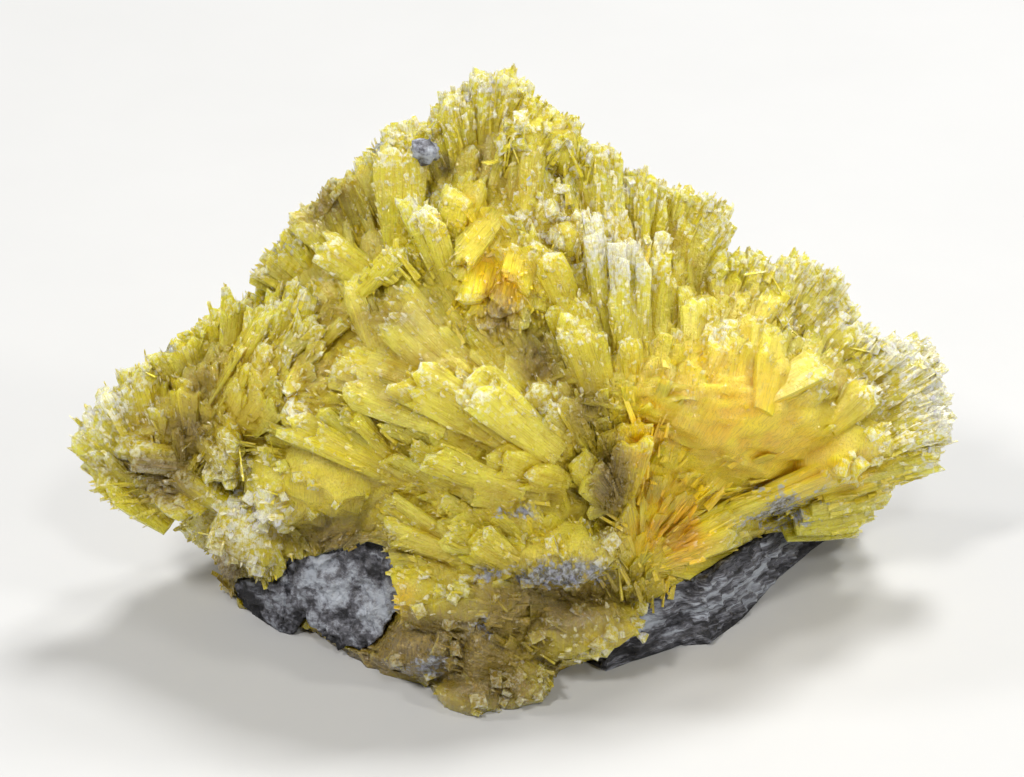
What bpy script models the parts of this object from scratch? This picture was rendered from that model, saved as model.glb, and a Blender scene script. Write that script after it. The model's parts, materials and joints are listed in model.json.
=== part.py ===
"""A brucite specimen: sheaves of yellow bladed crystals grown together on remnants of dark host rock.

Lengths are in millimetres inside the script and become metres when a mesh is made. The specimen stands on a
flat cut face at Z = 0. +X runs along its length and +Z points up. Its front face leans back, so places on it
are given as (across, up, out): across is X, up runs up the leaning face from the foremost point of the base,
and out stands square off that face, towards the front.
"""

import math
import random

import bmesh
import bpy
from mathutils import Matrix, Vector
from mathutils.bvhtree import BVHTree

MILLIMETRE = 0.001
GAP = 0.3
KEPT_SHARE = 0.75
CRYSTAL_SEED = 11
LEAN = math.radians(30)
FRONT_TIP_Y = -23.0
FOOT_Z = -0.4
BURIED_BASE = -3.0
GROUND_BLOCK = (160.0, 160.0, 40.0)

# The body's rim, seen square to the leaning face, clockwise from the left corner of the base. A point with
# no out lies on the ground.
CREST = [
    (-28.5, 10.5, None), (-29.5, 16.0, -15.0), (-31.0, 21.5, -13.0), (-36.0, 25.0, -11.5),
    (-40.5, 28.5, -9.5), (-38.0, 32.0, -9.0), (-32.0, 36.5, -8.0), (-26.5, 40.5, -7.5),
    (-22.0, 45.5, -6.5), (-18.0, 50.0, -5.0),
    (-12.5, 54.5, -3.5), (-8.0, 56.0, -1.5), (-4.0, 60.0, 0.0), (-0.5, 60.0, 0.5), (3.5, 56.5, -1.0),
    (8.0, 53.0, -3.5), (12.5, 50.5, -5.5), (17.0, 48.5, -7.5), (20.5, 43.5, -9.0), (25.5, 42.5, -10.5),
    (29.5, 41.0, -11.5), (33.0, 36.5, -13.0), (38.0, 34.0, -15.0), (40.0, 30.0, -17.0), (38.0, 25.5, -20.0),
    (34.5, 21.5, -24.0), (31.5, 17.5, None),
]
FOOT = [
    (26.0, 13.5, None), (19.5, 8.5, None), (12.0, 6.5, None), (5.5, 5.0, None), (0.0, 2.3, None),
    (-5.5, 1.0, None), (-10.0, 3.8, None), (-15.5, 4.8, None), (-20.0, 7.8, None), (-25.0, 9.0, None),
]
FACE_CENTRE = (0.0, 33.0, 5.0)
FACE_RINGS = 5
FACE_ROUNDNESS = 2.2
RELIEF_FADE = 4.0
# Swellings and hollows of the front face, as (across, up), radius and height.
RELIEF = [
    ((9.5, 23.5), 4.5, -3.5), ((1.0, 38.0), 4.5, -2.0), ((-33.5, 29.0), 4.0, -2.0),
    ((-17.5, 19.0), 4.0, -2.5), ((25.0, 29.0), 10.0, 3.0), ((-25.0, 37.0), 7.0, 2.0),
    ((-8.0, 32.0), 9.0, 2.0), ((9.0, 46.0), 5.0, 1.5), ((16.0, 13.0), 5.0, -3.0), ((24.5, 17.5), 5.0, -3.0),
]
BACK_FOOT = [(-28.5, -2.0), (-30.0, 5.0), (-26.0, 12.0), (-14.0, 18.0), (0.0, 20.0), (14.0, 21.0),
             (26.0, 19.5), (32.0, 16.0), (31.5, 12.0)]
BACK_ROWS = 4
BACK_BULGE = 0.11
BACK_SPREAD = 0.02

# Each front sheaf: the middle of its patch of the face, the patch's radius, the place its blades spread
# from, and how far they lift off the face, as (seat, radius, root, lift).
FRONT_SHEAVES = [
    ((-38.5, 31.0, -8.0), 7.0, (-34.0, 18.0, -14.0), 0.20),
    ((-32.0, 37.0, -6.0), 6.0, (-28.0, 24.0, -12.0), 0.20),
    ((-24.5, 37.0, -2.0), 8.0, (-30.0, 25.0, -8.0), 0.25),
    ((-22.0, 49.0, -5.0), 6.0, (-14.0, 38.0, -6.0), 0.30),
    ((-17.0, 47.0, -2.0), 6.0, (-10.0, 36.0, -6.0), 0.20),
    ((-11.5, 53.0, -1.0), 7.0, (-8.0, 38.0, -5.0), 0.20),
    ((-4.0, 59.0, 1.5), 8.0, (-4.0, 46.0, -3.0), 0.30),
    ((1.0, 49.0, 2.0), 7.0, (3.0, 40.0, -4.0), 0.60),
    ((-2.5, 42.5, 3.0), 6.0, (0.0, 50.0, -3.0), 0.40),
    ((8.0, 49.0, 1.0), 8.0, (9.5, 26.0, -4.0), 0.20),
    ((17.0, 50.0, -6.0), 7.0, (8.0, 30.0, -8.0), 0.20),
    ((10.0, 37.0, 3.0), 8.0, (10.0, 22.0, -3.0), 0.25),
    ((-7.0, 32.0, 4.0), 12.0, (8.0, 22.0, -4.0), 0.35),
    ((-12.0, 25.0, 3.0), 9.0, (6.0, 18.0, -4.0), 0.35),
    ((-20.0, 26.0, 0.0), 8.0, (-8.0, 24.0, -6.0), 0.30),
    ((2.0, 27.0, 5.0), 8.0, (10.0, 22.0, -2.0), 0.25),
    ((16.0, 22.0, 0.0), 9.0, (11.0, 15.0, -6.0), 0.30),
    ((22.0, 32.0, -2.0), 10.0, (11.0, 17.0, -6.0), 0.25),
    ((26.0, 42.0, -8.0), 8.0, (12.0, 18.0, -8.0), 0.25),
    ((37.0, 32.0, -13.0), 9.0, (12.0, 18.0, -10.0), 0.20),
    ((33.0, 24.0, -18.0), 8.0, (12.0, 16.0, -10.0), 0.20),
    ((-2.0, 16.0, 2.0), 9.0, (11.0, 9.0, -5.0), 0.20),
    ((8.0, 11.0, -4.0), 7.0, (16.0, 5.0, -8.0), 0.20),
    ((-4.0, 6.0, -3.0), 8.0, (8.0, 2.0, -8.0), 0.20),
    ((-27.5, 20.0, -9.0), 6.0, (-27.0, 28.0, -12.0), 0.30),
    ((-30.0, 13.0, -15.0), 5.0, (-28.0, 22.0, -14.0), 0.20),
    ((-35.5, 24.0, -11.0), 6.0, (-26.0, 24.0, -14.0), 0.20),
    ((-29.8, 26.0, -8.0), 5.0, (-27.0, 33.0, -11.0), 0.30),
]
# The same for the back, with places as (x, y, z).
BACK_SHEAVES = [
    ((-20.0, 12.0, 30.0), 10.0, (-8.0, 6.0, 14.0), 0.30),
    ((0.0, 15.0, 42.0), 11.0, (0.0, 6.0, 18.0), 0.25),
    ((18.0, 18.0, 30.0), 10.0, (6.0, 8.0, 12.0), 0.30),
    ((32.0, 16.0, 18.0), 9.0, (14.0, 8.0, 10.0), 0.25),
    ((-34.0, 6.0, 20.0), 9.0, (-14.0, 4.0, 14.0), 0.25),
    ((-22.0, 14.0, 8.0), 9.0, (-10.0, 9.0, -5.0), 0.30),
    ((0.0, 20.0, 14.0), 11.0, (2.0, 15.0, -8.0), 0.30),
    ((22.0, 20.0, 8.0), 9.0, (10.0, 13.0, -5.0), 0.30),
]

# Tips of the crystals that make the ragged outline, as (across, up), clockwise from the lower left.
EDGE_TIPS = [
    (-39.5, 24.3), (-42.0, 25.5), (-43.6, 27.2), (-44.3, 29.3), (-43.3, 31.4), (-41.6, 33.2), (-39.3, 34.9),
    (-37.0, 36.3), (-34.5, 38.2), (-32.0, 40.0), (-29.8, 41.4), (-28.0, 43.2), (-26.3, 45.5), (-24.7, 47.7),
    (-23.0, 49.0), (-21.9, 51.1), (-19.8, 52.8), (-18.2, 54.8), (-15.6, 56.4), (-13.2, 58.4), (-11.0, 59.8),
    (-8.5, 60.5), (-6.8, 62.4), (-5.2, 64.0), (-3.7, 64.8), (-2.1, 64.2), (-0.7, 65.0), (0.6, 62.3),
    (2.4, 61.2), (4.0, 60.4), (5.4, 58.4), (14.8, 53.3), (22.4, 46.8), (24.2, 47.1), (26.2, 45.8),
    (28.2, 46.3), (30.2, 45.3), (31.9, 45.0), (32.7, 42.8), (34.2, 41.2), (36.2, 38.2), (39.0, 37.6),
    (41.2, 37.9), (42.8, 36.2), (43.4, 33.4), (44.2, 30.3), (42.8, 27.3), (40.5, 25.3), (37.8, 22.9),
    (36.0, 20.9),
]
EDGE_WIDTH = 3.0
EDGE_THICKNESS = 1.7
EDGE_LENGTH = 10.0
EDGE_REACH = 0.9
EDGE_TURN = 0.6
EDGE_SLANT = 0.9

# Large crystals that stand out, as (root, tip, width, thickness).
LARGE_CRYSTALS = [
    ((-11.0, 45.5, 0.5), (-11.8, 57.4, 1.0), 5.4, 1.8),
    ((-6.0, 41.0, 1.5), (-10.3, 52.2, 4.6), 3.8, 3.0),
    ((-16.0, 42.0, 1.0), (-11.4, 46.6, 4.6), 2.8, 1.8),
    ((-9.5, 40.5, -1.0), (-20.5, 47.2, 0.0), 3.6, 1.8),
    ((-16.5, 45.0, -4.0), (-22.6, 50.6, -3.5), 3.2, 2.0),
    ((9.8, 42.0, -2.0), (7.4, 57.4, -1.0), 3.4, 1.4),
    ((12.3, 43.0, -2.0), (11.6, 55.0, -2.5), 1.5, 1.3),
    ((15.5, 41.0, -6.0), (17.0, 52.9, -6.0), 7.2, 1.8),
    ((10.0, 29.0, 0.5), (7.3, 50.6, 3.8), 2.6, 1.6),
    ((10.5, 29.0, 1.0), (9.7, 47.6, 4.8), 2.0, 1.6),
    ((11.3, 29.0, 0.5), (12.0, 47.9, 3.6), 2.0, 1.6),
    ((12.0, 30.0, -0.5), (14.4, 48.6, 1.6), 2.4, 1.6),
    ((-2.0, 25.5, 1.5), (-8.8, 35.4, 7.2), 2.8, 1.8),
    ((-15.0, 28.5, -1.0), (-18.2, 36.3, 3.4), 2.0, 1.6),
    ((-9.0, 23.0, 0.0), (-16.9, 32.0, 5.4), 2.8, 1.8),
    ((-20.5, 38.0, -2.5), (-22.7, 30.4, 3.4), 2.2, 2.0),
    ((-20.0, 24.4, -10.5), (-42.0, 26.1, -9.7), 3.3, 4.0),
    ((-29.0, 24.8, -12.0), (-36.4, 21.2, -9.5), 5.2, 2.0),
    ((-26.5, 31.0, -10.0), (-30.4, 23.2, -5.2), 3.6, 2.0),
    ((-2.5, 48.0, 0.5), (-4.1, 39.4, 5.4), 3.8, 3.0),
    ((-0.5, 48.0, 0.5), (-0.8, 38.2, 5.2), 3.6, 3.0),
    ((2.5, 48.0, 0.0), (1.8, 41.0, 4.8), 3.6, 3.0),
]

# Rounded or blocky masses, as (centre, half extents), both in (across, up, out).
MASSES = [
    ((-27.0, 19.4, -10.5), (4.2, 3.9, 3.8)),
    ((-17.8, 25.4, -4.5), (6.2, 5.4, 5.6)),
    ((-22.8, 24.6, -6.5), (4.8, 5.4, 4.8)),
    ((-5.0, 2.6, -4.6), (3.6, 2.4, 4.0)),
    ((-0.6, 3.6, -5.2), (3.8, 2.6, 4.4)),
    ((1.0, 50.6, -1.0), (4.0, 3.6, 4.2)),
    ((4.0, 47.6, -1.0), (3.2, 3.4, 4.0)),
    ((0.6, 57.6, -0.6), (3.0, 3.4, 3.8)),
    ((3.6, 57.0, -1.4), (2.4, 3.0, 3.2)),
    ((31.0, 27.5, -13.0), (6.0, 4.0, 5.4)),
    ((-6.5, 12.6, -1.6), (7.6, 3.6, 3.8)),
    ((2.5, 16.8, 0.0), (6.8, 3.2, 3.4)),
    ((4.5, 9.6, -4.6), (7.2, 3.2, 3.8)),
    ((-8.0, 7.6, -4.4), (6.6, 2.8, 3.8)),
]
MASS_ROUGHNESS = 0.16
MASS_DETAIL = 2

# Places on the front where the growth is massive, without large blades, as ((across, up), radius).
MASSIVE = [
    ((-2.0, 11.0), 9.0), ((-9.0, 5.0), 6.0), ((8.0, 8.5), 6.5), ((15.5, 18.5), 6.0), ((21.0, 30.5), 6.0),
    ((31.0, 24.5), 6.0), ((-27.0, 19.5), 5.0), ((-19.0, 22.5), 6.0), ((-17.5, 17.0), 4.0),
    ((13.0, 26.0), 4.0),
]
BLADE_SPACING = 6.0
BLADE_WIDTH = (3.6, 5.6)
BLADE_THICKNESS = (2.0, 3.0)
BLADE_LENGTH = (11.0, 17.0)
BLADE_RISE = (0.8, 1.9)
BLADE_SLANT = 0.8
# A blade's cross-section, as shares of its width and thickness.
BLADE_OUTLINE = [(-0.5, 0.0), (-0.3, 0.5), (0.3, 0.5), (0.5, 0.0), (0.3, -0.5), (-0.3, -0.5)]
ROOT_TAPER = 0.6
TIP_BEVEL = 0.22
TIP_TAPER = 0.72
SHORT_RUN = 6.0
SPREADING_TRIES = 1500
SHORTEST_BLADE = 4.0
SHORTENING = 0.85
FLATNESS = 0.55
STEEPENING = (0.0, 0.12, 0.3, 0.7)
ROOT_DEPTH = 0.3
ROCK_MARGIN = 1.0
LOWEST_BLADE_Z = 2.5

# The slab of rock along the right front: stations from its pointed left end to its right end, as the
# foremost point on the ground (across, up), the height of its front edge and its depth from front to back.
SLAB_STATIONS = [
    (6.6, 5.2, 1.2, 3.0), (8.6, 4.6, 3.4, 6.0), (12.0, 5.4, 5.6, 8.5), (16.2, 7.0, 6.2, 10.0),
    (19.0, 6.8, 7.2, 11.5), (22.8, 9.6, 6.8, 11.0), (26.8, 13.2, 5.2, 9.5), (30.2, 16.0, 4.6, 8.0),
    (33.2, 17.6, 3.0, 5.0),
]
# The slab's front profile, from the ground up, as (fraction of the height, how far back it sits).
SLAB_PROFILE = [(0.14, 0.0), (0.40, 1.3), (0.62, 0.7), (1.0, 2.0)]
SLAB_BACK_HEIGHT = 0.55
SLAB_FULL_HEIGHT = 6.0
SLAB_WOBBLE = 0.35
SLAB_UNDERCUT = 0.5
SLAB_CLEARANCE = 5.0

# The visible face of the rock patch at the lower left, as (across, up, out), clockwise from its left corner.
PATCH_FACE = [
    (-29.0, 11.8, -17.2), (-28.4, 13.8, -15.0), (-25.4, 13.0, -12.0), (-23.6, 14.3, -10.2),
    (-23.0, 15.8, -9.2), (-20.4, 15.7, -7.6), (-16.9, 17.3, -5.6), (-15.0, 18.4, -4.6),
    (-13.3, 17.9, -4.0), (-12.2, 15.0, -4.2),
    (-11.8, 11.5, -5.4), (-13.8, 8.5, -7.0), (-15.4, 6.9, -8.6), (-18.2, 7.0, -10.0), (-19.2, 9.4, -10.2),
    (-21.6, 9.8, -11.8), (-22.5, 8.5, -13.6), (-24.2, 7.9, -15.0), (-27.2, 10.1, -17.6),
]
PATCH_BACK_Y = 2.0
PATCH_CLEARANCE = 12.0

CHIP_CENTRE = (-9.2, 56.3, 2.6)
CHIP_HALF_EXTENTS = (1.5, 1.7, 1.5)
CHIP_ROUGHNESS = 0.15
CHIP_DETAIL = 1
CHIP_SEED = 5


# ---------------------------------------------------------------- places and directions

def face_point(across, up, out):
    """The place of (across, up, out) as (x, y, z)."""
    y = FRONT_TIP_Y + up * math.sin(LEAN) - out * math.cos(LEAN)
    z = up * math.cos(LEAN) + out * math.sin(LEAN)
    return Vector((across, y, z))


def rim_place(across, up, out):
    """(across, up, out) with out worked out where the point lies on the ground."""
    if out is None:
        out = (FOOT_Z / math.cos(LEAN) - up) / math.tan(LEAN)
    return Vector((across, up, out))


def along(points, share):
    """The point at a share of a row of points, counted by its steps."""
    step = min(int(share * (len(points) - 1)), len(points) - 2)
    rest = share * (len(points) - 1) - step
    return Vector(points[step]).lerp(Vector(points[step + 1]), rest)


def sheaves():
    """Every sheaf as (seat, radius, root, lift), with its places as (x, y, z)."""
    front = [(face_point(*seat), radius, face_point(*root), lift)
             for seat, radius, root, lift in FRONT_SHEAVES]
    back = [(Vector(seat), radius, Vector(root), lift) for seat, radius, root, lift in BACK_SHEAVES]
    return front + back


def sheaf_at(place, choices):
    """The sheaf whose patch holds the place."""
    return min(choices, key=lambda sheaf: (place - sheaf[0]).length / sheaf[1])


# ---------------------------------------------------------------- meshes

def make_object(name, mesh_data, material):
    """An object from a bmesh in millimetres, which is freed."""
    bmesh.ops.triangulate(mesh_data, faces=mesh_data.faces)
    bmesh.ops.scale(mesh_data, vec=(MILLIMETRE,) * 3, verts=mesh_data.verts)
    bmesh.ops.recalc_face_normals(mesh_data, faces=mesh_data.faces)
    mesh = bpy.data.meshes.new(name)
    mesh_data.to_mesh(mesh)
    mesh_data.free()
    item = bpy.data.objects.new(name, mesh)
    bpy.context.scene.collection.objects.link(item)
    if material:
        mesh.materials.append(material)
    return item


def add_shell(bm, places, faces):
    """Adds a closed shell given as places and lists of place numbers."""
    verts = [bm.verts.new(place) for place in places]
    for face in faces:
        bm.faces.new([verts[number] for number in face])
    return verts


def add_prism(bm, rings):
    """Adds a closed shell that joins rings of equal length and caps the first and the last."""
    size = len(rings[0])
    places = [place for ring in rings for place in ring]
    faces = [list(range(size))[::-1], list(range(len(places) - size, len(places)))]
    for row in range(len(rings) - 1):
        for column in range(size):
            following = (column + 1) % size
            low, high = row * size, (row + 1) * size
            faces.append([low + column, low + following, high + following, high + column])
    return add_shell(bm, places, faces)


def blade(root, tip, width, thickness, outward, slant, bevelled):
    """A flattened six-sided crystal whose broad faces look outward and whose end is cut on the slant."""
    axis = (tip - root).normalized()
    flat = axis.cross(outward).normalized()
    thick = flat.cross(axis)

    def ring(centre, scale, tilt):
        return [centre + flat * (a * width * scale) + thick * (b * thickness * scale) + axis * (a * tilt)
                for a, b in BLADE_OUTLINE]

    rings = [ring(root, ROOT_TAPER, 0.0), ring(tip, 1.0, slant)]
    if bevelled:
        rings[1:] = [ring(tip - axis * (TIP_BEVEL * width), 1.0, slant), ring(tip, TIP_TAPER, slant)]
    bm = bmesh.new()
    add_prism(bm, rings)
    return bm


def rough_lump(centre, half_extents, roughness, detail, draw):
    """A rough rounded lump."""
    bm = bmesh.new()
    bmesh.ops.create_icosphere(bm, subdivisions=detail, radius=1.0)
    turn = Matrix.Translation(face_point(*centre)) @ Matrix.Rotation(-LEAN, 4, "X")
    for vert in bm.verts:
        rough = 1.0 + draw.uniform(-roughness, roughness)
        across, up, out = (part * rough * size for part, size in zip(vert.co, half_extents, strict=True))
        vert.co = turn @ Vector((across, -out, up))
    return bm


# ---------------------------------------------------------------- the body that the blades grow on

def relief_at(place):
    """How far the face swells out at a place on it."""
    return sum(height * math.exp(-math.hypot(place.x - seat[0], place.y - seat[1]) ** 2 / radius ** 2)
               for seat, radius, height in RELIEF)


def front_rings():
    """Rings of places over the front face, from the rim in to the middle."""
    rim = [rim_place(*point) for point in CREST + FOOT]
    middle = Vector(FACE_CENTRE)
    rings = []
    for step in range(FACE_RINGS):
        share = 1.0 - step / FACE_RINGS
        ring = []
        for point in rim:
            place = middle.lerp(point, share)
            swelling = relief_at(place) * min(1.0, RELIEF_FADE * (1.0 - share))
            place.z = middle.z + (point.z - middle.z) * share ** FACE_ROUNDNESS + swelling
            ring.append(face_point(*place))
        rings.append(ring)
    return rings


def back_columns(crest):
    """For each place of the crest, the places from it down the back to the ground."""
    columns = []
    for number, top in enumerate(crest):
        foot = along(BACK_FOOT, number / (len(crest) - 1)).to_3d() + Vector((0.0, 0.0, FOOT_Z))
        column = []
        for row in range(1, BACK_ROWS + 1):
            share = row / BACK_ROWS
            place = top.lerp(foot, share)
            bulge = (foot - top).length * BACK_BULGE * math.sin(math.pi * share)
            outward = Vector((place.x * BACK_SPREAD, 1.0, 0.0)).normalized()
            column.append(place + outward * bulge)
        columns.append(column)
    return columns


def add_body(bm):
    """Adds the closed body: the front face, the back, and a base that reaches below the ground."""
    rings = front_rings()
    count = len(rings[0])
    crest_count = len(CREST)
    ring_verts = [[bm.verts.new(place) for place in ring] for ring in rings]
    for outer, inner in zip(ring_verts, ring_verts[1:], strict=False):
        for number in range(count):
            following = (number + 1) % count
            bm.faces.new([outer[number], outer[following], inner[following], inner[number]])
    middle = bm.verts.new(face_point(*FACE_CENTRE))
    for number in range(count):
        bm.faces.new([ring_verts[-1][number], ring_verts[-1][(number + 1) % count], middle])

    rim = ring_verts[0]
    columns = [[rim[number]] + [bm.verts.new(place) for place in column]
               for number, column in enumerate(back_columns(rings[0][:crest_count]))]
    columns[0] = [rim[0]] * (BACK_ROWS + 1)
    columns[-1] = [rim[crest_count - 1]] * (BACK_ROWS + 1)
    for left, right in zip(columns, columns[1:], strict=False):
        for row in range(BACK_ROWS):
            corners = dict.fromkeys([left[row], left[row + 1], right[row + 1], right[row]])
            bm.faces.new(corners)

    foot = [column[-1] for column in columns] + rim[crest_count:]
    buried = [bm.verts.new((vert.co.x, vert.co.y, BURIED_BASE)) for vert in foot]
    for number in range(len(foot)):
        following = (number + 1) % len(foot)
        bm.faces.new([foot[number], foot[following], buried[following], buried[number]])
    bm.faces.new(buried)
    loose = [vert for vert in bm.verts if not vert.link_faces]
    bmesh.ops.delete(bm, geom=loose, context="VERTS")
    bmesh.ops.recalc_face_normals(bm, faces=bm.faces)


def surface_places(bm, spacing, draw):
    """Places spread over the body at least a spacing apart, each with the outward normal there."""
    faces = bmesh.ops.triangulate(bm, faces=bm.faces[:])["faces"]
    areas = [face.calc_area() for face in faces]
    found = []
    misses = 0
    while misses < SPREADING_TRIES:
        face = draw.choices(faces, areas)[0]
        a, b, c = (vert.co for vert in face.verts)
        s, t = draw.random(), draw.random()
        if s + t > 1.0:
            s, t = 1.0 - s, 1.0 - t
        place = a + (b - a) * s + (c - a) * t
        far = all((place - other).length > spacing for other, _ in found)
        if place.z > LOWEST_BLADE_Z and far:
            found.append((place, face.normal.copy()))
            misses = 0
        else:
            misses += 1
    return found


# ---------------------------------------------------------------- crystals

def buried_length(tree, tip, heading, length):
    """The length shortened until the root end lies inside the body, or nothing where it never does."""
    while length > SHORTEST_BLADE:
        root = tip - heading * length
        nearest, normal, _, _ = tree.find_nearest(root)
        if (nearest - root).dot(normal) > ROOT_DEPTH:
            return length
        length *= SHORTENING
    return None


def up_face(place):
    """How far up the leaning face a place lies."""
    return place.z * math.cos(LEAN) + (place.y - FRONT_TIP_Y) * math.sin(LEAN)


def in_massive(place):
    """Whether a place lies where the growth is massive."""
    return place.y < 0.0 and any(math.hypot(place.x - across, up_face(place) - up) < radius
                                 for (across, up), radius in MASSIVE)


def over_rock(place):
    """Whether a place hangs in front of the slab, seen square to the leaning face."""
    up = up_face(place)
    pairs = zip(SLAB_STATIONS, SLAB_STATIONS[1:], strict=False)
    for (across, low, height, _), (end_across, end_low, end_height, _) in pairs:
        if across <= place.x <= end_across:
            share = (place.x - across) / (end_across - across)
            foot = low + (end_low - low) * share
            top = foot + height + (end_height - height) * share
            foremost_y = FRONT_TIP_Y + foot / math.sin(LEAN)
            return up < top + ROCK_MARGIN and place.y < foremost_y + ROCK_MARGIN
    return False


def surface_root(tree, place, normal, tip, sheaf, length):
    """The root of a blade that follows its sheaf over the body, steepened until it is buried, or nothing."""
    _, _, root, lift = sheaf
    spread = place - root
    surface_run = spread - normal * spread.dot(normal)
    flat_part = surface_run.normalized() * min(1.0, surface_run.length / SHORT_RUN)
    for steeper in STEEPENING:
        heading = (flat_part + normal * (lift * FLATNESS + steeper)).normalized()
        fitting = buried_length(tree, tip, heading, min(length, spread.length))
        if fitting:
            return tip - heading * fitting
    return None


def surface_blades(body, draw):
    """The blades of every sheaf, spread over the body."""
    choices = sheaves()
    tree = BVHTree.FromBMesh(body)
    blades = []
    for place, normal in surface_places(body, BLADE_SPACING, draw):
        tip = place + normal * draw.uniform(*BLADE_RISE)
        length = draw.uniform(*BLADE_LENGTH)
        width = draw.uniform(*BLADE_WIDTH)
        thickness = draw.uniform(*BLADE_THICKNESS)
        slant = draw.uniform(-BLADE_SLANT, BLADE_SLANT)
        root = surface_root(tree, place, normal, tip, sheaf_at(place, choices), length)
        if root and not over_rock(tip) and not in_massive(place):
            blades.append(blade(root, tip, width, thickness, normal, slant, False))
    return blades


def rim_out(across, up):
    """How far out the crest lies where it is nearest to (across, up)."""
    ends = [rim_place(*point) for point in CREST]
    nearest = sorted(ends, key=lambda end: math.hypot(end.x - across, end.y - up))[:2]
    gaps = [math.hypot(end.x - across, end.y - up) + 0.1 for end in nearest]
    return (nearest[0].z * gaps[1] + nearest[1].z * gaps[0]) / sum(gaps)


def edge_blades(draw):
    """The crystals whose tips make the outline."""
    choices = sheaves()
    blades = []
    outward = face_point(0, 0, 1) - face_point(0, 0, 0)
    for across, up in EDGE_TIPS:
        tip = face_point(across, up, rim_out(across, up))
        _, _, root, _ = sheaf_at(tip, choices)
        spread = tip - root
        heading = spread.normalized()
        length = min(EDGE_LENGTH, EDGE_REACH * spread.length)
        turned = outward + heading.cross(outward) * draw.uniform(-EDGE_TURN, EDGE_TURN)
        slant = draw.uniform(-EDGE_SLANT, EDGE_SLANT)
        blades.append(blade(tip - heading * length, tip, EDGE_WIDTH, EDGE_THICKNESS, turned, slant, False))
    return blades


def large_crystals(draw):
    """The large crystals that stand out from the sheaves."""
    outward = face_point(0, 0, 1) - face_point(0, 0, 0)
    return [blade(face_point(*root), face_point(*tip), width, thickness, outward,
                  draw.uniform(-BLADE_SLANT, BLADE_SLANT), True)
            for root, tip, width, thickness in LARGE_CRYSTALS]


def masses(draw):
    """The rounded and blocky masses."""
    return [rough_lump(centre, half_extents, MASS_ROUGHNESS, MASS_DETAIL, draw)
            for centre, half_extents in MASSES]


# ---------------------------------------------------------------- rock

def slab_rings(growth, forward):
    """Cross-sections of the slab, swollen by a growth, its front moved forward."""
    rings = []
    last = len(SLAB_STATIONS) - 1
    for number, (across, up, height, depth) in enumerate(SLAB_STATIONS):
        foot = face_point(*rim_place(across, up, None))
        end = -1 if number == 0 else int(number == last)
        x = foot.x + end * growth
        wobble = SLAB_WOBBLE * (-1) ** number
        ring = [Vector((x, foot.y + SLAB_UNDERCUT - forward, BURIED_BASE))]
        for share, setback in SLAB_PROFILE:
            bump = wobble if share < 1.0 else 0.0
            y = foot.y + setback * min(1.0, height / SLAB_FULL_HEIGHT) + bump
            ring.append(Vector((x, y - forward, height * share + growth * (share == 1.0))))
        if forward:
            ring.append(Vector((x, y, height + growth)))
        ring.append(Vector((x, foot.y + depth + growth, height * SLAB_BACK_HEIGHT + growth)))
        ring.append(Vector((x, foot.y + depth + growth, BURIED_BASE)))
        rings.append(ring)
    return rings


def slab(growth, forward):
    """The slab, swollen by a growth, its front moved forward."""
    bm = bmesh.new()
    add_prism(bm, slab_rings(growth, forward))
    return bm


def patch(growth, forward):
    """The rock patch, swollen sideways and backwards by a growth, its face moved forward."""
    face = [face_point(*point) for point in PATCH_FACE]
    front, back = [], []
    for number, place in enumerate(face):
        before, after = face[number - 1], face[(number + 1) % len(face)]
        edge = after - before
        side = Vector((-edge.z, 0.0, edge.x)).normalized()
        front.append(place + side * growth + Vector((0.0, -forward, 0.0)))
        back.append(Vector((place.x, PATCH_BACK_Y, place.z)) + side * growth + Vector((0.0, growth, 0.0)))
    bm = bmesh.new()
    add_prism(bm, [front, back])
    return bm


def chip(growth):
    """The chip of rock beside the top lump, swollen by a growth."""
    extents = [size + growth for size in CHIP_HALF_EXTENTS]
    return rough_lump(CHIP_CENTRE, extents, CHIP_ROUGHNESS, CHIP_DETAIL, random.Random(CHIP_SEED))


# ---------------------------------------------------------------- cutting and joining

def guide(name, bm):
    """A hidden cutter from a bmesh."""
    item = make_object(name, bm, None)
    item.hide_render = True
    item.display_type = "WIRE"
    return item


def ground_cutter():
    """A block that fills everything below the ground."""
    bm = bmesh.new()
    bmesh.ops.create_cube(bm, size=1.0)
    bmesh.ops.scale(bm, vec=GROUND_BLOCK, verts=bm.verts)
    bmesh.ops.translate(bm, vec=(0.0, 0.0, -0.5 * GROUND_BLOCK[2]), verts=bm.verts)
    return guide("ground_cutter", bm)


def combine(item, operation, **operand):
    """Joins an object with others, or cuts it. EXACT leaves open edges where so many blades cross."""
    modifier = item.modifiers.new(operation.lower(), "BOOLEAN")
    modifier.operation = operation
    modifier.solver = "MANIFOLD"
    for name, value in operand.items():
        setattr(modifier, name, value)


def grow_together(item, shells):
    """Joins an object with crossing shells, which are used up."""
    group = bpy.data.collections.new("shells")
    bpy.context.scene.collection.children.link(group)
    for number, shell in enumerate(shells):
        piece = make_object(f"shell_{number}", shell, None)
        bpy.context.scene.collection.objects.unlink(piece)
        group.objects.link(piece)
    combine(item, "UNION", operand_type="COLLECTION", collection=group)
    settle(item)
    for piece in list(group.objects):
        bpy.data.objects.remove(piece)
    bpy.data.collections.remove(group)


def settle(item):
    """Applies an object's modifiers and keeps its largest shell."""
    graph = bpy.context.evaluated_depsgraph_get()
    result = bpy.data.meshes.new_from_object(item.evaluated_get(graph))
    item.modifiers.clear()
    bm = bmesh.new()
    bm.from_mesh(result)
    bpy.data.meshes.remove(result)
    largest = set(max(shells_of(bm), key=len))
    bmesh.ops.delete(bm, geom=[vert for vert in bm.verts if vert not in largest], context="VERTS")
    bmesh.ops.triangulate(bm, faces=bm.faces)
    bm.to_mesh(item.data)
    bm.free()


def thin_out(item, share):
    """Merges the smallest facets, keeping a share of the triangles."""
    modifier = item.modifiers.new("thin_out", "DECIMATE")
    modifier.ratio = share


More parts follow.
